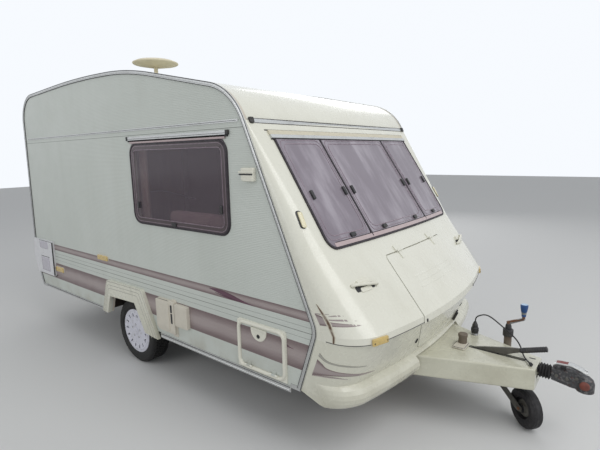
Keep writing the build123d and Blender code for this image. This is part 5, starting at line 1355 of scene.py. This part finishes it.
class CARAVAN_OT_front_fittings(bpy.types.Operator):
    """Fits the painted shade line along the lip, the locks, the locker catches, the grab bars with a painted shadow
    under each, and the ribs of the lid
    """

    bl_idname = "caravan.front_fittings"
    bl_label = "Front fittings"

    def execute(self, context):
        upper, lower = front_face(UPPER_FRONT), front_face(LOWER_FRONT)
        # Dark line along the waist lip: painted shade of the lip's step.
        dark = both(lambda side: level_bar(-0.020, 0.760, 0.7900, 0.004, front_wrap(UPPER_FRONT, side), 0.0012))
        dark += both(lambda side: pad(side * 0.447, 0.796, 0.016, 0.020, 0.006, upper, 0.004))
        dark += both(lambda side: pad(side * 0.418, 0.628, 0.014, 0.030, 0.006, lower, 0.004))
        piece("front_lip_shade_and_catches", dark, "dark_line")
        catches = pads(lower, ((0.378, 0.560, 0.026, 0.066, 0.012, 0.008, 0.003),
                               (0.370, 0.545, 0.016, 0.070, 0.022, 0.006, 0.003)))
        piece("locker_catches", catches, "black_plastic")
        grips = []
        for side in (-1, 1):
            bow = curve([(-0.100, 0.003), (-0.096, 0.012), (-0.078, 0.022), (-0.030, 0.0240), (0.030, 0.0240),
                         (0.078, 0.022),
                         (0.096, 0.012), (0.100, 0.003)], 40)
            grips.append(tube(upper(side * (GRAB_Y + bow[:, 0]), 1.066 + 0.14 * bow[:, 0], bow[:, 1]), 0.0100, 14))
            grips.append(pads(upper, ((side * GRAB_Y, 1.083, 0.104, 0.026, 0.014, 0.009, 0.004),
                                      (side * GRAB_Y, 1.048, 0.096, 0.024, 0.008, 0.009, 0.003))))
        piece("grab_bars", joined(grips), "ivory_plastic", replaces=["grab_handles"])
        # Dark pad under each grab bar: painted shadow.
        shade = both(lambda side: pad(side * GRAB_Y, 1.058, 0.164, 0.030, 0.0040, upper, 0.010))
        piece("grab_bar_shadows", shade, "dark_line")
        ribs = [level_bar(-0.300, 0.300, z, 0.010, upper, 0.0032, -0.001) for z in (0.955, 0.985, 1.015)]
        piece("lid_ribs", joined(ribs), "gel_coat", "locker_lid")
        return {"FINISHED"}


class CARAVAN_OT_wheels(bpy.types.Operator):
    """Makes the road tyres with their tread, and the bolts, caps and valves of the trims"""

    bl_idname = "caravan.wheels"
    bl_label = "Road wheels"

    def execute(self, context):
        count, base = sizes().tread_blocks, TYRE_RADIUS - 0.0062
        half_section = [(0.182, 0.040), (0.184, 0.058), (0.190, 0.066), (0.200, 0.074), (0.207, 0.0795),
                        (0.212, 0.0800),
                        (0.216, 0.0838), (0.236, 0.0868), (0.252, 0.0852), (0.258, 0.0838), (0.260, 0.0852),
                        (0.264, 0.0848),
                        (0.274, 0.0790), (0.281, 0.0715), (base, 0.0640)]
        section = np.array(half_section + [(radius, -out) for radius, out in half_section[::-1]])
        turn = np.linspace(0, FULL_TURN, 120, endpoint=False)
        pitch = FULL_TURN * TYRE_RADIUS / count
        for side, name in ((-1, "offside"), (1, "nearside")):
            body, hub = f"{name}_road_wheel", side * (HALF - HUB_INSET)
            around = np.stack([np.cos(turn), np.zeros_like(turn), np.sin(turn)], -1)
            points = (np.array([AXLE, hub, TYRE_RADIUS]) + section[:, None, :1] * around[None]
                      + section[:, None, 1:] * np.array([0, side, 0]))
            tyre = grid(points, wrap_u=True, wrap_v=True)
            top = 2 * TYRE_RADIUS
            rows = []
            for across, width, skew in TREAD_ROWS:
                block_form = block((AXLE - pitch * 0.40, hub + across - width / 2, top - 0.0085),
                                   (AXLE + pitch * 0.40, hub + across + width / 2, top - 0.0008), 0.0012)
                frames = [turned(FULL_TURN * (k + skew) / count, (0, 1, 0), (AXLE, 0, TYRE_RADIUS))
                          for k in range(count)]
                rows.append(block_form.copies(frames))
            piece(f"{name}_tread_tyre", tyre + joined(rows), "road_tyre", body, [f"{name}_tyre"])
            face = hub + side * 0.0800
            bolt_turns = np.linspace(0, FULL_TURN, sizes().trim_bolts, endpoint=False) + 0.3
            places = [(AXLE + 0.056 * math.cos(a), face - side * 0.001, TYRE_RADIUS + 0.056 * math.sin(a))
                      for a in bolt_turns]
            dark = lathe([(0.0125, -0.004), (0.0125, 0.0012), (0.0090, 0.0006), (0.0002, 0.0006)], (0, 0, 0),
                         (0, side, 0), 16)
            piece(f"{name}_bolt_recesses", dark.copies(spots(places)), "dark_line", body)
            bolts = lathe([(0.0070, -0.002), (0.0070, 0.0035), (0.0055, 0.0050), (0.0002, 0.0056)], (0, 0, 0),
                          (0, side, 0), 6)
            piece(f"{name}_bolts", bolts.copies(spots(places)), "bright_trim", body)
            cap = lathe([(0.034, -0.003), (0.034, 0.0025), (0.031, 0.0045), (0.020, 0.0055), (0.0002, 0.0060)],
                        (AXLE, face + side * 0.0015, TYRE_RADIUS), (0, side, 0), 40)
            rim = lathe([(0.197, -0.006), (0.1975, 0.0015), (0.1955, 0.0035), (0.188, 0.0040), (0.184, 0.0010),
                         (0.184, -0.006)],
                        (AXLE, hub + side * 0.0740, TYRE_RADIUS), (0, side, 0), 96)
            piece(f"{name}_trim_rings", cap + rim, "wheel_trim", body)
            valve = tube([(AXLE + 0.150, hub + side * 0.050, TYRE_RADIUS - 0.050),
                          (AXLE + 0.148, hub + side * 0.070, TYRE_RADIUS - 0.048),
                          (AXLE + 0.144, hub + side * 0.088, TYRE_RADIUS - 0.046)], 0.0045, 10)
            piece(f"{name}_valve", valve, "black_plastic", body)
        return {"FINISHED"}


class CARAVAN_OT_drawbar(bpy.types.Operator):
    """Fits the deck: slot edge, post plate, plug foot, handbrake grip and plate, coupling handle"""

    bl_idname = "caravan.drawbar"
    bl_label = "Drawbar"

    def execute(self, context):
        deck = level_plane(DECK_Z)
        slot_edge = refined(rounded_box(2.782, 0, 0.344, 0.022, 0.0109, 8), 0.02)
        dark = strip(slot_edge, square_edge(-0.0005, 0.0060, -0.0015, 0.0012, 0.0004), deck)
        dark += pad(2.990, 0.055, 0.040, 0.013, 0.0008, deck, 0.006, 0.0003)
        piece("deck_slot_edge", dark, "dark_line")
        foot = block((sta(2.5175), -0.0975, DECK_Z - 0.002), (sta(2.6025), 0.0275, DECK_Z + 0.0150), 0.006)
        piece("post_plate", foot, "vent_plastic")
        sleeve = lathe([(0.0248, 0.372), (0.0250, 0.374), (0.0250, 0.5385), (0.0246, 0.5390)],
                       (sta(JOCKEY_X), PARKED_Y, 0), (0, 0, 1), 32)
        piece("jockey_sleeve", sleeve, "rusty_post")
        cap = lathe([(0.0285, 0.015), (0.0285, 0.058), (0.0320, 0.061), (0.0320, 0.078), (0.0290, 0.0815),
                     (0.0100, 0.0830),
                     (0.0002, 0.0830)], (sta(2.560), 0, DECK_Z), (0, 0, 1), 32)
        piece("post_cap", cap, "rusty_post")
        park = block((sta(2.5525), 0.1995, DECK_Z - 0.001), (sta(2.5975), 0.2445, DECK_Z + 0.0070), 0.004)
        park += lathe([(0.0185, 0.006), (0.0185, 0.0145), (0.0175, 0.0152), (0.0002, 0.0152)],
                      (sta(PLUG_X), PARKED_Y, DECK_Z), (0, 0, 1), 28)
        piece("plug_foot", park, "white_plastic")
        collar = lathe([(0.0256, 0.5165), (0.0268, 0.5185), (0.0268, 0.5260), (0.0256, 0.5280)],
                       (sta(PLUG_X), PARKED_Y, 0), (0, 0, 1), 28)
        turns = np.linspace(0, FULL_TURN, 14, endpoint=False)
        rib = bar((0.0252, 0, 0.531), (0.0252, 0, 0.5425), 0.0022, 0.003, (1, 0, 0), 0.0005)
        frames = [shifted(sta(PLUG_X), PARKED_Y, 0) @ turned(a, (0, 0, 1)) for a in turns]
        piece("plug_rings", collar + rib.copies(frames), "dark_line")

        blade = stroke(((2.640, 0.491), (2.740, 0.4915), (2.830, 0.497), (2.880, 0.517), (2.935, 0.540)),
                       ((2.640, 0.496), (2.700, 0.513), (2.780, 0.532), (2.860, 0.550), (2.935, 0.563)),
                       lambda x, z, out: np.stack([sta(x), out + 0 * x, z + 0 * x], -1), 0.0068, 0.0068, 24, 4)[0]
        piece("handbrake_plate", blade, "worn_steel")
        along = np.linspace(0, 1, 61)
        grip = np.column_stack([0.0158 + 0.0022 * np.abs(np.sin(along * math.pi * 11)) - 0.004 * (along > 0.985),
                                0.004 + along * 0.158])
        aim = np.array([155.0, 0, 52.0]) / math.hypot(155.0, 52.0)
        grip = np.vstack([(0.0002, 0.004), grip, (0.0002, 0.1625)])
        piece("handbrake_grip", lathe(grip, (sta(2.925), 0, 0.547), aim, 28), "black_plastic")

        top = curve([(sta(x), z) for x, z in (
            (3.120, 0.522), (3.140, 0.5335), (3.180, 0.5360), (3.216, 0.5375), (3.278, 0.5175))], 26)
        handle = grid(np.stack([np.stack([top[:, 0], np.full(26, y), top[:, 1] + rise], -1)
                                for y, rise in ((-0.0268, -0.004), (-0.0268, 0.0012), (-0.0250, 0.0024),
                                                (0.0250, 0.0024),
                                                (0.0268, 0.0012), (0.0268, -0.004))], 1), wrap_v=True, cap=True)
        loop = tube([(sta(3.262), -0.020, 0.5195), (sta(3.285), -0.020, 0.5130), (sta(3.296), -0.016, 0.5095),
                     (sta(3.296), 0.016, 0.5095),
                     (sta(3.285), 0.020, 0.5130), (sta(3.262), 0.020, 0.5195)], 0.0035, 10, up=(0.3, 0.0, 1.0))
        piece("coupling_handle", handle + loop, "bright_trim")
        red = grid(np.stack([np.stack([top[4:16, 0], np.full(12, y), top[4:16, 1] + rise], -1)
                             for y, rise in ((-0.018, 0.0015), (-0.018, 0.0031), (0.018, 0.0031), (0.018, 0.0015))],
                            1), wrap_v=True,
                   cap=True)
        piece("coupling_red_strip", red, "red_paint")
        dome = both(lambda side: lathe([(0.027, -0.004), (0.027, 0.002), (0.022, 0.007), (0.012, 0.010),
                                        (0.0002, 0.011)],
                                       (sta(3.288), side * 0.0455, 0.440), (0, side, 0), 32))
        piece("coupling_pads", dome, "rusty_red")
        heads = both(lambda side: lathe([(0.010, -0.003), (0.010, 0.006), (0.008, 0.008), (0.0002, 0.0085)],
                                        (0, 0, 0), (0, side, 0), 6)
                     .copies(spots([(sta(x), side * 0.032, z)
                                    for x, z in ((3.140, 0.458), (3.196, 0.452), (3.245, 0.470))])))
        piece("coupling_bolts", heads, "worn_steel")
        return {"FINISHED"}


class CARAVAN_OT_jockey(bpy.types.Operator):
    """Fits the jockey wheel's cap, rusty crank, grip, hub plates and tread rings"""

    bl_idname = "caravan.jockey"
    bl_label = "Jockey wheel"

    def execute(self, context):
        x, y = sta(JOCKEY_X), PARKED_Y
        cap = lathe([(0.0335, 0.5395), (0.0342, 0.542), (0.0342, 0.560), (0.0336, 0.5615), (0.0342, 0.563),
                     (0.0342, 0.5835),
                     (0.0320, 0.5875), (0.0215, 0.5885), (0.0215, 0.5905), (0.0195, 0.612), (0.0150, 0.6265),
                     (0.0002, 0.6265)],
                    (x, y, 0), (0, 0, 1), 36)
        piece("jockey_cap", cap, "black_plastic")
        arm = bar((x - 0.011, y, 0.636), (x + 0.096, y, 0.6825), 0.0195, 0.0135, soft=0.003)
        arm += lathe([(0.013, 0.628), (0.013, 0.640), (0.010, 0.644), (0.0002, 0.645)], (x, y, 0), (0, 0, 1), 12)
        arm += lathe([(0.0100, 0.682), (0.0100, 0.7015), (0.0002, 0.7020)], (x + CRANK_REACH, y, 0), (0, 0, 1), 16)
        piece("jockey_crank", arm, "rusty_steel")
        grip = [(0.0105, 0.6995), (0.0140, 0.7005), (0.0150, 0.712), (0.0150, 0.728), (0.0190, 0.736),
                (0.0235, 0.762), (0.0248, 0.778),
                (0.0240, 0.784), (0.0205, 0.7862), (0.0002, 0.7868)]
        piece("jockey_grip", lathe(grip, (x + CRANK_REACH, y, 0), (0, 0, 1), 32), "blue_plastic")
        piece("jockey_grip_top",
              lathe([(0.0205, 0.7845), (0.0205, 0.7872), (0.0180, 0.7882), (0.0002, 0.7884)], (x + CRANK_REACH, y, 0),
                    (0, 0, 1), 28), "pale_blue")
        turn = math.radians(JOCKEY_TURN)
        ahead = np.array([math.cos(turn), math.sin(turn), 0.0])
        across = np.array([-ahead[1], ahead[0], 0.0])
        centre = np.array([x, y, JOCKEY_RADIUS]) + JOCKEY_TRAIL * ahead
        half_hub = [(0.056, 0.012), (0.056, 0.0175), (0.050, 0.0215), (0.034, 0.0230), (0.030, 0.0385),
                    (0.0120, 0.0395), (0.0120, 0.012)]
        hubs = [lathe(half_hub, centre, s * across, 32) for s in (-1, 1)]
        piece("jockey_hub", hubs[0] + hubs[1], "worn_steel", "jockey_road_wheel")
        wheel_turn = np.linspace(0, FULL_TURN, 90, endpoint=False)
        around = ahead * np.cos(wheel_turn)[:, None] + np.array([0, 0, 1.0]) * np.sin(wheel_turn)[:, None]
        rings = []
        for offset, radius in ((-0.024, 0.1290), (-0.012, 0.1318), (0.0, 0.1318), (0.012, 0.1318), (0.024, 0.1290)):
            section = np.array([(radius - 0.004, -0.004), (radius - 0.0008, -0.0034), (radius, -0.0022),
                                (radius, 0.0022),
                                (radius - 0.0008, 0.0034), (radius - 0.004, 0.004)])
            rings.append(grid(centre + section[:, None, :1] * around[None] + (section[:, None, 1:] + offset) * across,
                              wrap_u=True,
                              wrap_v=True))
        piece("jockey_tread", joined(rings), "black_rubber", "jockey_road_wheel")
        nuts = [lathe([(0.011, -0.001), (0.011, 0.006), (0.0095, 0.0075), (0.0002, 0.0080)],
                      centre + s * 0.0545 * across, s * across, 6)
                for s in (-1, 1)]
        piece("jockey_nuts", nuts[0] + nuts[1], "rusty_steel", "jockey_leg")
        return {"FINISHED"}


class CARAVAN_OT_roof(bpy.types.Operator):
    """Fits the aerial's seam and the rooflight's dome and rubber"""

    bl_idname = "caravan.roof"
    bl_label = "Roof"

    def execute(self, context):
        low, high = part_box("tv_aerial")
        x, y = (low.x + high.x) / 2, (low.y + high.y) / 2
        seam = high.z - 0.026
        saucer = lathe([(0.1775, seam - 0.004), (0.1805, seam - 0.003), (0.1812, seam), (0.1805, seam + 0.003),
                        (0.1775, seam + 0.004)],
                       (x, y, 0), (0, 0, 1), 64)
        piece("aerial_seam", saucer, "aerial_plastic")
        low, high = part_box("rooflight")
        x = (low.x + high.x) / 2
        rim = refined(rounded_box(0, 0, high.x - low.x - 0.012, high.y - low.y - 0.012, 0.055))
        top = high.z

        def level(u, v, out):
            return np.stack([x + u, v, top + out + 0 * u], -1)

        dome = plate(rounded_box(0, 0, 0.350, 0.350, 0.060, 6),
                     [(0, -0.004), (0.003, 0.002), (0.014, 0.006), (0.030, 0.008)], level)
        piece("rooflight_dome", dome, "white_plastic")
        gasket = strip(rim, half_round(0.010, 0.006, 0.010, 7) + np.array([0, -0.046]), level)
        piece("rooflight_gasket", gasket, "seal_rubber")
        return {"FINISHED"}


class CARAVAN_OT_door(bpy.types.Operator):
    """Fits the entry door's trim, edge, window rubber, handle, lock and waist line"""

    bl_idname = "caravan.door"
    bl_label = "Entry door"

    def execute(self, context):
        wall = side_wall(1)
        frame_line = refined(rounded_box(*DOOR_LEAF, 0.060))
        piece("door_frame_trim", strip(frame_line, square_edge(0.008, 0.030, -0.002, 0.0045, 0.0015), wall),
              "bright_trim")
        piece("door_edge", strip(frame_line, square_edge(-0.020, -0.003, -0.002, 0.0035, 0.0012), wall),
              "ivory_plastic",
              "door_leaf")
        x, z, width, height, radius = DOOR_WINDOW
        pane_set("door_pane", rounded_box(x, z, width, height, radius), wall, "door_leaf", inset=0.026)
        handle = pad(-1.070, 1.150, 0.066, 0.136, 0.0215, wall, 0.012, 0.004)
        stations, heights, out = np.transpose([(-1.088, 1.160, 0.014), (-1.060, 1.160, 0.0205),
                                               (-1.010, 1.158, 0.0200)])
        lever = tube(wall(stations, heights, out), 0.009, 12, flat=0.7)
        piece("door_handle", handle + lever, "black_plastic", "door_leaf")
        lock = lathe([(0.011, -0.004), (0.011, 0.002), (0.009, 0.003), (0.0002, 0.003)], wall(-1.070, 1.108, 0.0215),
                     (0, 1, 0), 20)
        piece("door_lock", lock, "bright_trim", "door_leaf")
        piece("door_waist_line", level_bar(-1.120, -0.580, 1.330, 0.006, wall, 0.0020), "dark_line", "door_leaf")
        return {"FINISHED"}


class CARAVAN_OT_cabin(bpy.types.Operator):
    """Furnishes the cabin: cushions, pillows, curtains, blinds, worktop and cupboard fronts"""

    bl_idname = "caravan.cabin"
    bl_label = "Cabin"

    def execute(self, context):
        low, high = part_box("bench_cushions")
        length = (high.x - low.x) / 2
        seat_low = low.z
        for side, name in ((-1, "offside"), (1, "nearside")):
            for row in (0, 1):
                start, end = low.x + row * length + 0.004, low.x + (row + 1) * length - 0.004
                seat = cushion((start, side * 0.484, seat_low + 0.002), (end, side * 0.902, seat_low + 0.112), 0.020)
                back = cushion((start, side * 0.905, seat_low + 0.004), (end, side * 1.024, 1.236), 0.026)
                for part, form in (("seat", seat), ("back", back)):
                    obj = piece(f"{name}_{part}_cushion_{row + 1}", form, "cushion_cloth",
                                replaces=["bench_cushions"])
            obj = piece(f"{name}_pillow",
                        cushion((sta(0.62), side * 0.930, 1.180), (sta(1.28), side * 1.018, 1.440), 0.030),
                        "cushion_cloth")
        folds = sizes().curtain_folds
        x, width = SIDE_WINDOW[0], SIDE_WINDOW[2]
        for side, name in ((-1, "offside"), (1, "nearside")):
            wall = side_wall(side)
            for end, place in (("rear", x - width / 2 + 0.075), ("front", x + width / 2 - 0.055)):
                drape(f"{name}_{end}_curtain", place, 0.110 if end == "rear" else 0.070, 1.300, 1.925, wall, -0.052,
                      folds)
        front = front_face(UPPER_FRONT)
        for place, wide, name in ((-0.437, 0.110, "left_middle"), (0.437, 0.110, "right_middle"),
                                  (-0.850, 0.060, "left_end"),
                                  (0.850, 0.060, "right_end")):
            drape(f"front_{name}_curtain", place, wide, 1.310, 1.915, front, -0.055, folds)
        for s, name in ((-1, "left"), (1, "right")):
            drape(f"rear_{name}_curtain", s * 0.470, 0.110, 1.300, 1.810, rear_face, -0.080, folds)
        boxes = both(lambda side: block((sta(x - width / 2 + 0.02), side * (HALF - 0.030), 1.905),
                                        (sta(x + width / 2 - 0.02),
side * (HALF - 0.075), 1.960), 0.008))
        piece("blind_cassettes", boxes, "blind_plastic")
        low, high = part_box("kitchen_unit")
        top = block((low.x - 0.006, low.y - 0.012, high.z), (high.x + 0.006, high.y, high.z + 0.022), 0.006)
        piece("worktop", top, "worktop")
        fronts = sum((block((low.x + 0.02 + k * 0.262, low.y - 0.014, low.z + 0.03),
                            (low.x + 0.27 + k * 0.262, low.y, high.z - 0.04), 0.005)
                      for k in (1, 2)),
                     block((low.x + 0.02, low.y - 0.014, low.z + 0.03), (low.x + 0.27, low.y, high.z - 0.04), 0.005))
        piece("cupboard_fronts", fronts, "furniture_board")
        return {"FINISHED"}


def cushion(low, high, crown):
    """Stuffed cushion between two corners. A grid of longitudes and latitudes on a superellipsoid,
    whose points are the signed 0.28 power of the sphere's, so its sides are flat and its corners
    round; its middle swells by the crown times the product of two half waves, and its sides pull
    in between the corners by a share of that."""
    low, high = np.minimum(low, high), np.maximum(low, high)
    middle, reach = (low + high) / 2, (high - low) / 2
    turn = np.linspace(0, FULL_TURN, 96, endpoint=False)
    rise = np.linspace(-math.pi / 2, math.pi / 2, 49)
    rise[[0, -1]] *= 0.9999

    def power(value, share):
        return np.sign(value) * np.abs(value) ** share

    ball = np.stack([power(np.cos(rise), 0.30)[:, None] * power(np.cos(turn), 0.22),
                     power(np.cos(rise), 0.30)[:, None]
                     * power(np.sin(turn), 0.22), np.broadcast_to(power(np.sin(rise), 0.45)[:, None], (49, 96))], -1)
    swell = np.cos(ball * math.pi / 2 * 0.98)
    thin = int(np.argmin(reach))
    others = [i for i in range(3) if i != thin]
    inset = np.full(3, 0.010)
    inset[thin] = crown
    points = ball * (reach - inset)
    points[..., thin] += ball[..., thin] * crown * 0.96 * (swell[..., others[0]] * swell[..., others[1]]) ** 0.6
    for one, other in (others, others[::-1]):
        points[..., one] -= np.sign(ball[..., one]) * 0.008 * np.abs(ball[..., one]) ** 8 * swell[..., other]
    wrinkle = 0.0012 * np.sin(points[..., others[0]] * 41 + 3 * np.sin(points[..., others[1]] * 17))
    points[..., thin] += ball[..., thin] * wrinkle
    points += middle
    form = grid(points, wrap_v=True, cap=True)
    up = np.eye(3)[thin]
    for share in (-0.62, 0.62):
        if thin == 2:
            seam = points[int(np.argmin(np.abs(ball[:, 0, 2] - share)))]
        else:
            seam = np.empty((96, 3))
            seam[:, others[0]] = power(np.cos(turn), 0.25) * (reach[others[0]] - 0.012) + middle[others[0]]
            seam[:, others[1]] = power(np.sin(turn), 0.30) * (reach[others[1]] - 0.014) + middle[others[1]]
            seam[:, thin] = middle[thin] + share * (reach[thin] - crown)
        form += piping(seam, 0.0035, up)
    return form


def piping(path, radius, up):
    """Closed round cord along a loop, sewn over a seam: circles square to the loop."""
    ahead = np.roll(path, -1, 0) - np.roll(path, 1, 0)
    ahead /= np.maximum(np.linalg.norm(ahead, axis=1)[:, None], 1e-9)
    first = np.cross(ahead, up)
    first /= np.maximum(np.linalg.norm(first, axis=1)[:, None], 1e-9)
    second = np.cross(first, ahead)
    turn = np.linspace(0, FULL_TURN, 8, endpoint=False)
    around = first[:, None] * np.cos(turn)[None, :, None] + second[:, None] * np.sin(turn)[None, :, None]
    return grid(path[:, None] + radius * around, wrap_u=True, wrap_v=True)


def drape(name, place, width, low, high, surface, depth, folds):
    """Curtain hung behind a pane: across it, a wave of a few folds whose depth grows towards the
    hem; up it, straight, drawn in a little at its waist. Two layers a millimetre apart, closed."""
    across, up = np.linspace(-0.5, 0.5, folds * 12 + 1), np.linspace(0, 1, 33)
    u, v = np.meshgrid(across, up, indexing="ij")
    waist = 1 - 0.10 * np.sin(math.pi * v)
    amplitude = 0.010 + 0.004 * (1 - v)
    uneven = 0.75 + 0.25 * np.cos(FULL_TURN * 1.5 * u + 1.0)
    wave = amplitude * np.sin(FULL_TURN * folds * u + 0.5 * np.sin(5 * v)) * uneven
    along = place + u * width * waist
    height = low + v * (high - low)
    layers = [surface(along, height, depth + wave + shift) for shift in (0.0005, -0.0005)]
    points = np.concatenate([layers[0], layers[1][:, ::-1]], 1)
    form = grid(points, wrap_v=True, cap=True)
    run = np.linalg.norm(np.diff(layers[0][:, 16], axis=0), axis=1).sum()
    rise = np.linalg.norm(np.diff(layers[0][0], axis=0), axis=1).sum()
    own = np.stack([np.concatenate([u, u[:, ::-1]], 1) * run, np.concatenate([v, v[:, ::-1]], 1) * rise], -1)
    obj = piece(name, form, "curtain_cloth", uv=own.reshape(-1, 2), sharp=60.0)


class CARAVAN_OT_underside(bpy.types.Operator):
    """Fits the steadies' bolts and the battens under the floor"""

    bl_idname = "caravan.underside"
    bl_label = "Underside"

    def execute(self, context):
        for corner in ("front_offside", "front_nearside", "rear_offside", "rear_nearside"):
            node = f"{corner}_steady"
            low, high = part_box(node)
            y = (low.y + high.y) / 2
            ahead = 1.0 if node.startswith("front") else -1.0
            tip = high.x if ahead > 0 else low.x
            heads = lathe([(0.008, -0.002), (0.008, 0.004), (0.0002, 0.005)], (0, 0, 0), (0, 0, -1), 6)
            places = [(tip - ahead * d, y, low.z) for d in (0.06, 0.12)]
            piece(f"{node}_bolts", heads.copies(spots(places)), "rusty_steel", f"{corner}_leg")
        low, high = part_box("floor")
        battens = [block((low.x + 0.35 + k * 0.62, -0.56, low.z - 0.012),
                         (low.x + 0.41 + k * 0.62, 0.56, low.z + 0.002), 0.003)
                   for k in range(5)]
        piece("floor_battens", joined(battens), "underfloor")
        return {"FINISHED"}


STEPS = [
    ("caravan.stage", "Stage"), ("caravan.finishes", "Finishes"), ("caravan.lead", "Car lead"),
    ("caravan.side_windows", "Side windows"), ("caravan.front_windows", "Front windows"),
    ("caravan.rear_window", "Rear window"), ("caravan.rails", "Rails and strips"), ("caravan.stripes", "Stripes"),
    ("caravan.lamps", "Lamps"), ("caravan.side_fittings", "Side fittings"),
         ("caravan.front_fittings", "Front fittings"),
    ("caravan.wheels", "Road wheels"), ("caravan.drawbar", "Drawbar"), ("caravan.jockey", "Jockey wheel"),
    ("caravan.roof", "Roof"), ("caravan.door", "Entry door"), ("caravan.cabin", "Cabin"),
    ("caravan.underside", "Underside"),
]
CLASSES = [
    CaravanPaints, CaravanSizes, CARAVAN_OT_stage, CARAVAN_OT_finishes, CARAVAN_OT_lead, CARAVAN_OT_side_windows,
    CARAVAN_OT_front_windows, CARAVAN_OT_rear_window, CARAVAN_OT_rails, CARAVAN_OT_stripes, CARAVAN_OT_lamps,
    CARAVAN_OT_side_fittings, CARAVAN_OT_front_fittings, CARAVAN_OT_wheels, CARAVAN_OT_drawbar, CARAVAN_OT_jockey,
    CARAVAN_OT_roof, CARAVAN_OT_door, CARAVAN_OT_cabin, CARAVAN_OT_underside,
]


class CARAVAN_PT_fittings(bpy.types.Panel):
    """Lists the caravan's settings and the steps that fit it out"""

    bl_label = "Caravan"
    bl_idname = "CARAVAN_PT_fittings"
    bl_space_type = "VIEW_3D"
    bl_region_type = "UI"
    bl_category = "Caravan"

    def draw(self, context):
        for group in (context.scene.caravan_paints, context.scene.caravan_sizes):
            for name in group.__annotations__:
                self.layout.prop(group, name)
        for step, label in STEPS:
            self.layout.operator(step, text=label)


def register():
    for cls in CLASSES + [CARAVAN_PT_fittings]:
        bpy.utils.register_class(cls)
    bpy.types.Scene.caravan_paints = bpy.props.PointerProperty(type=CaravanPaints)
    bpy.types.Scene.caravan_sizes = bpy.props.PointerProperty(type=CaravanSizes)


def unregister():
    del bpy.types.Scene.caravan_sizes
    del bpy.types.Scene.caravan_paints
    for cls in reversed(CLASSES + [CARAVAN_PT_fittings]):
        bpy.utils.unregister_class(cls)


def main():
    register()
    for step, label in STEPS:
        group, name = step.split(".")
        if getattr(getattr(bpy.ops, group), name)() != {"FINISHED"}:
            raise RuntimeError(f"{label} did not finish")


if __name__ == "__main__":
    main()
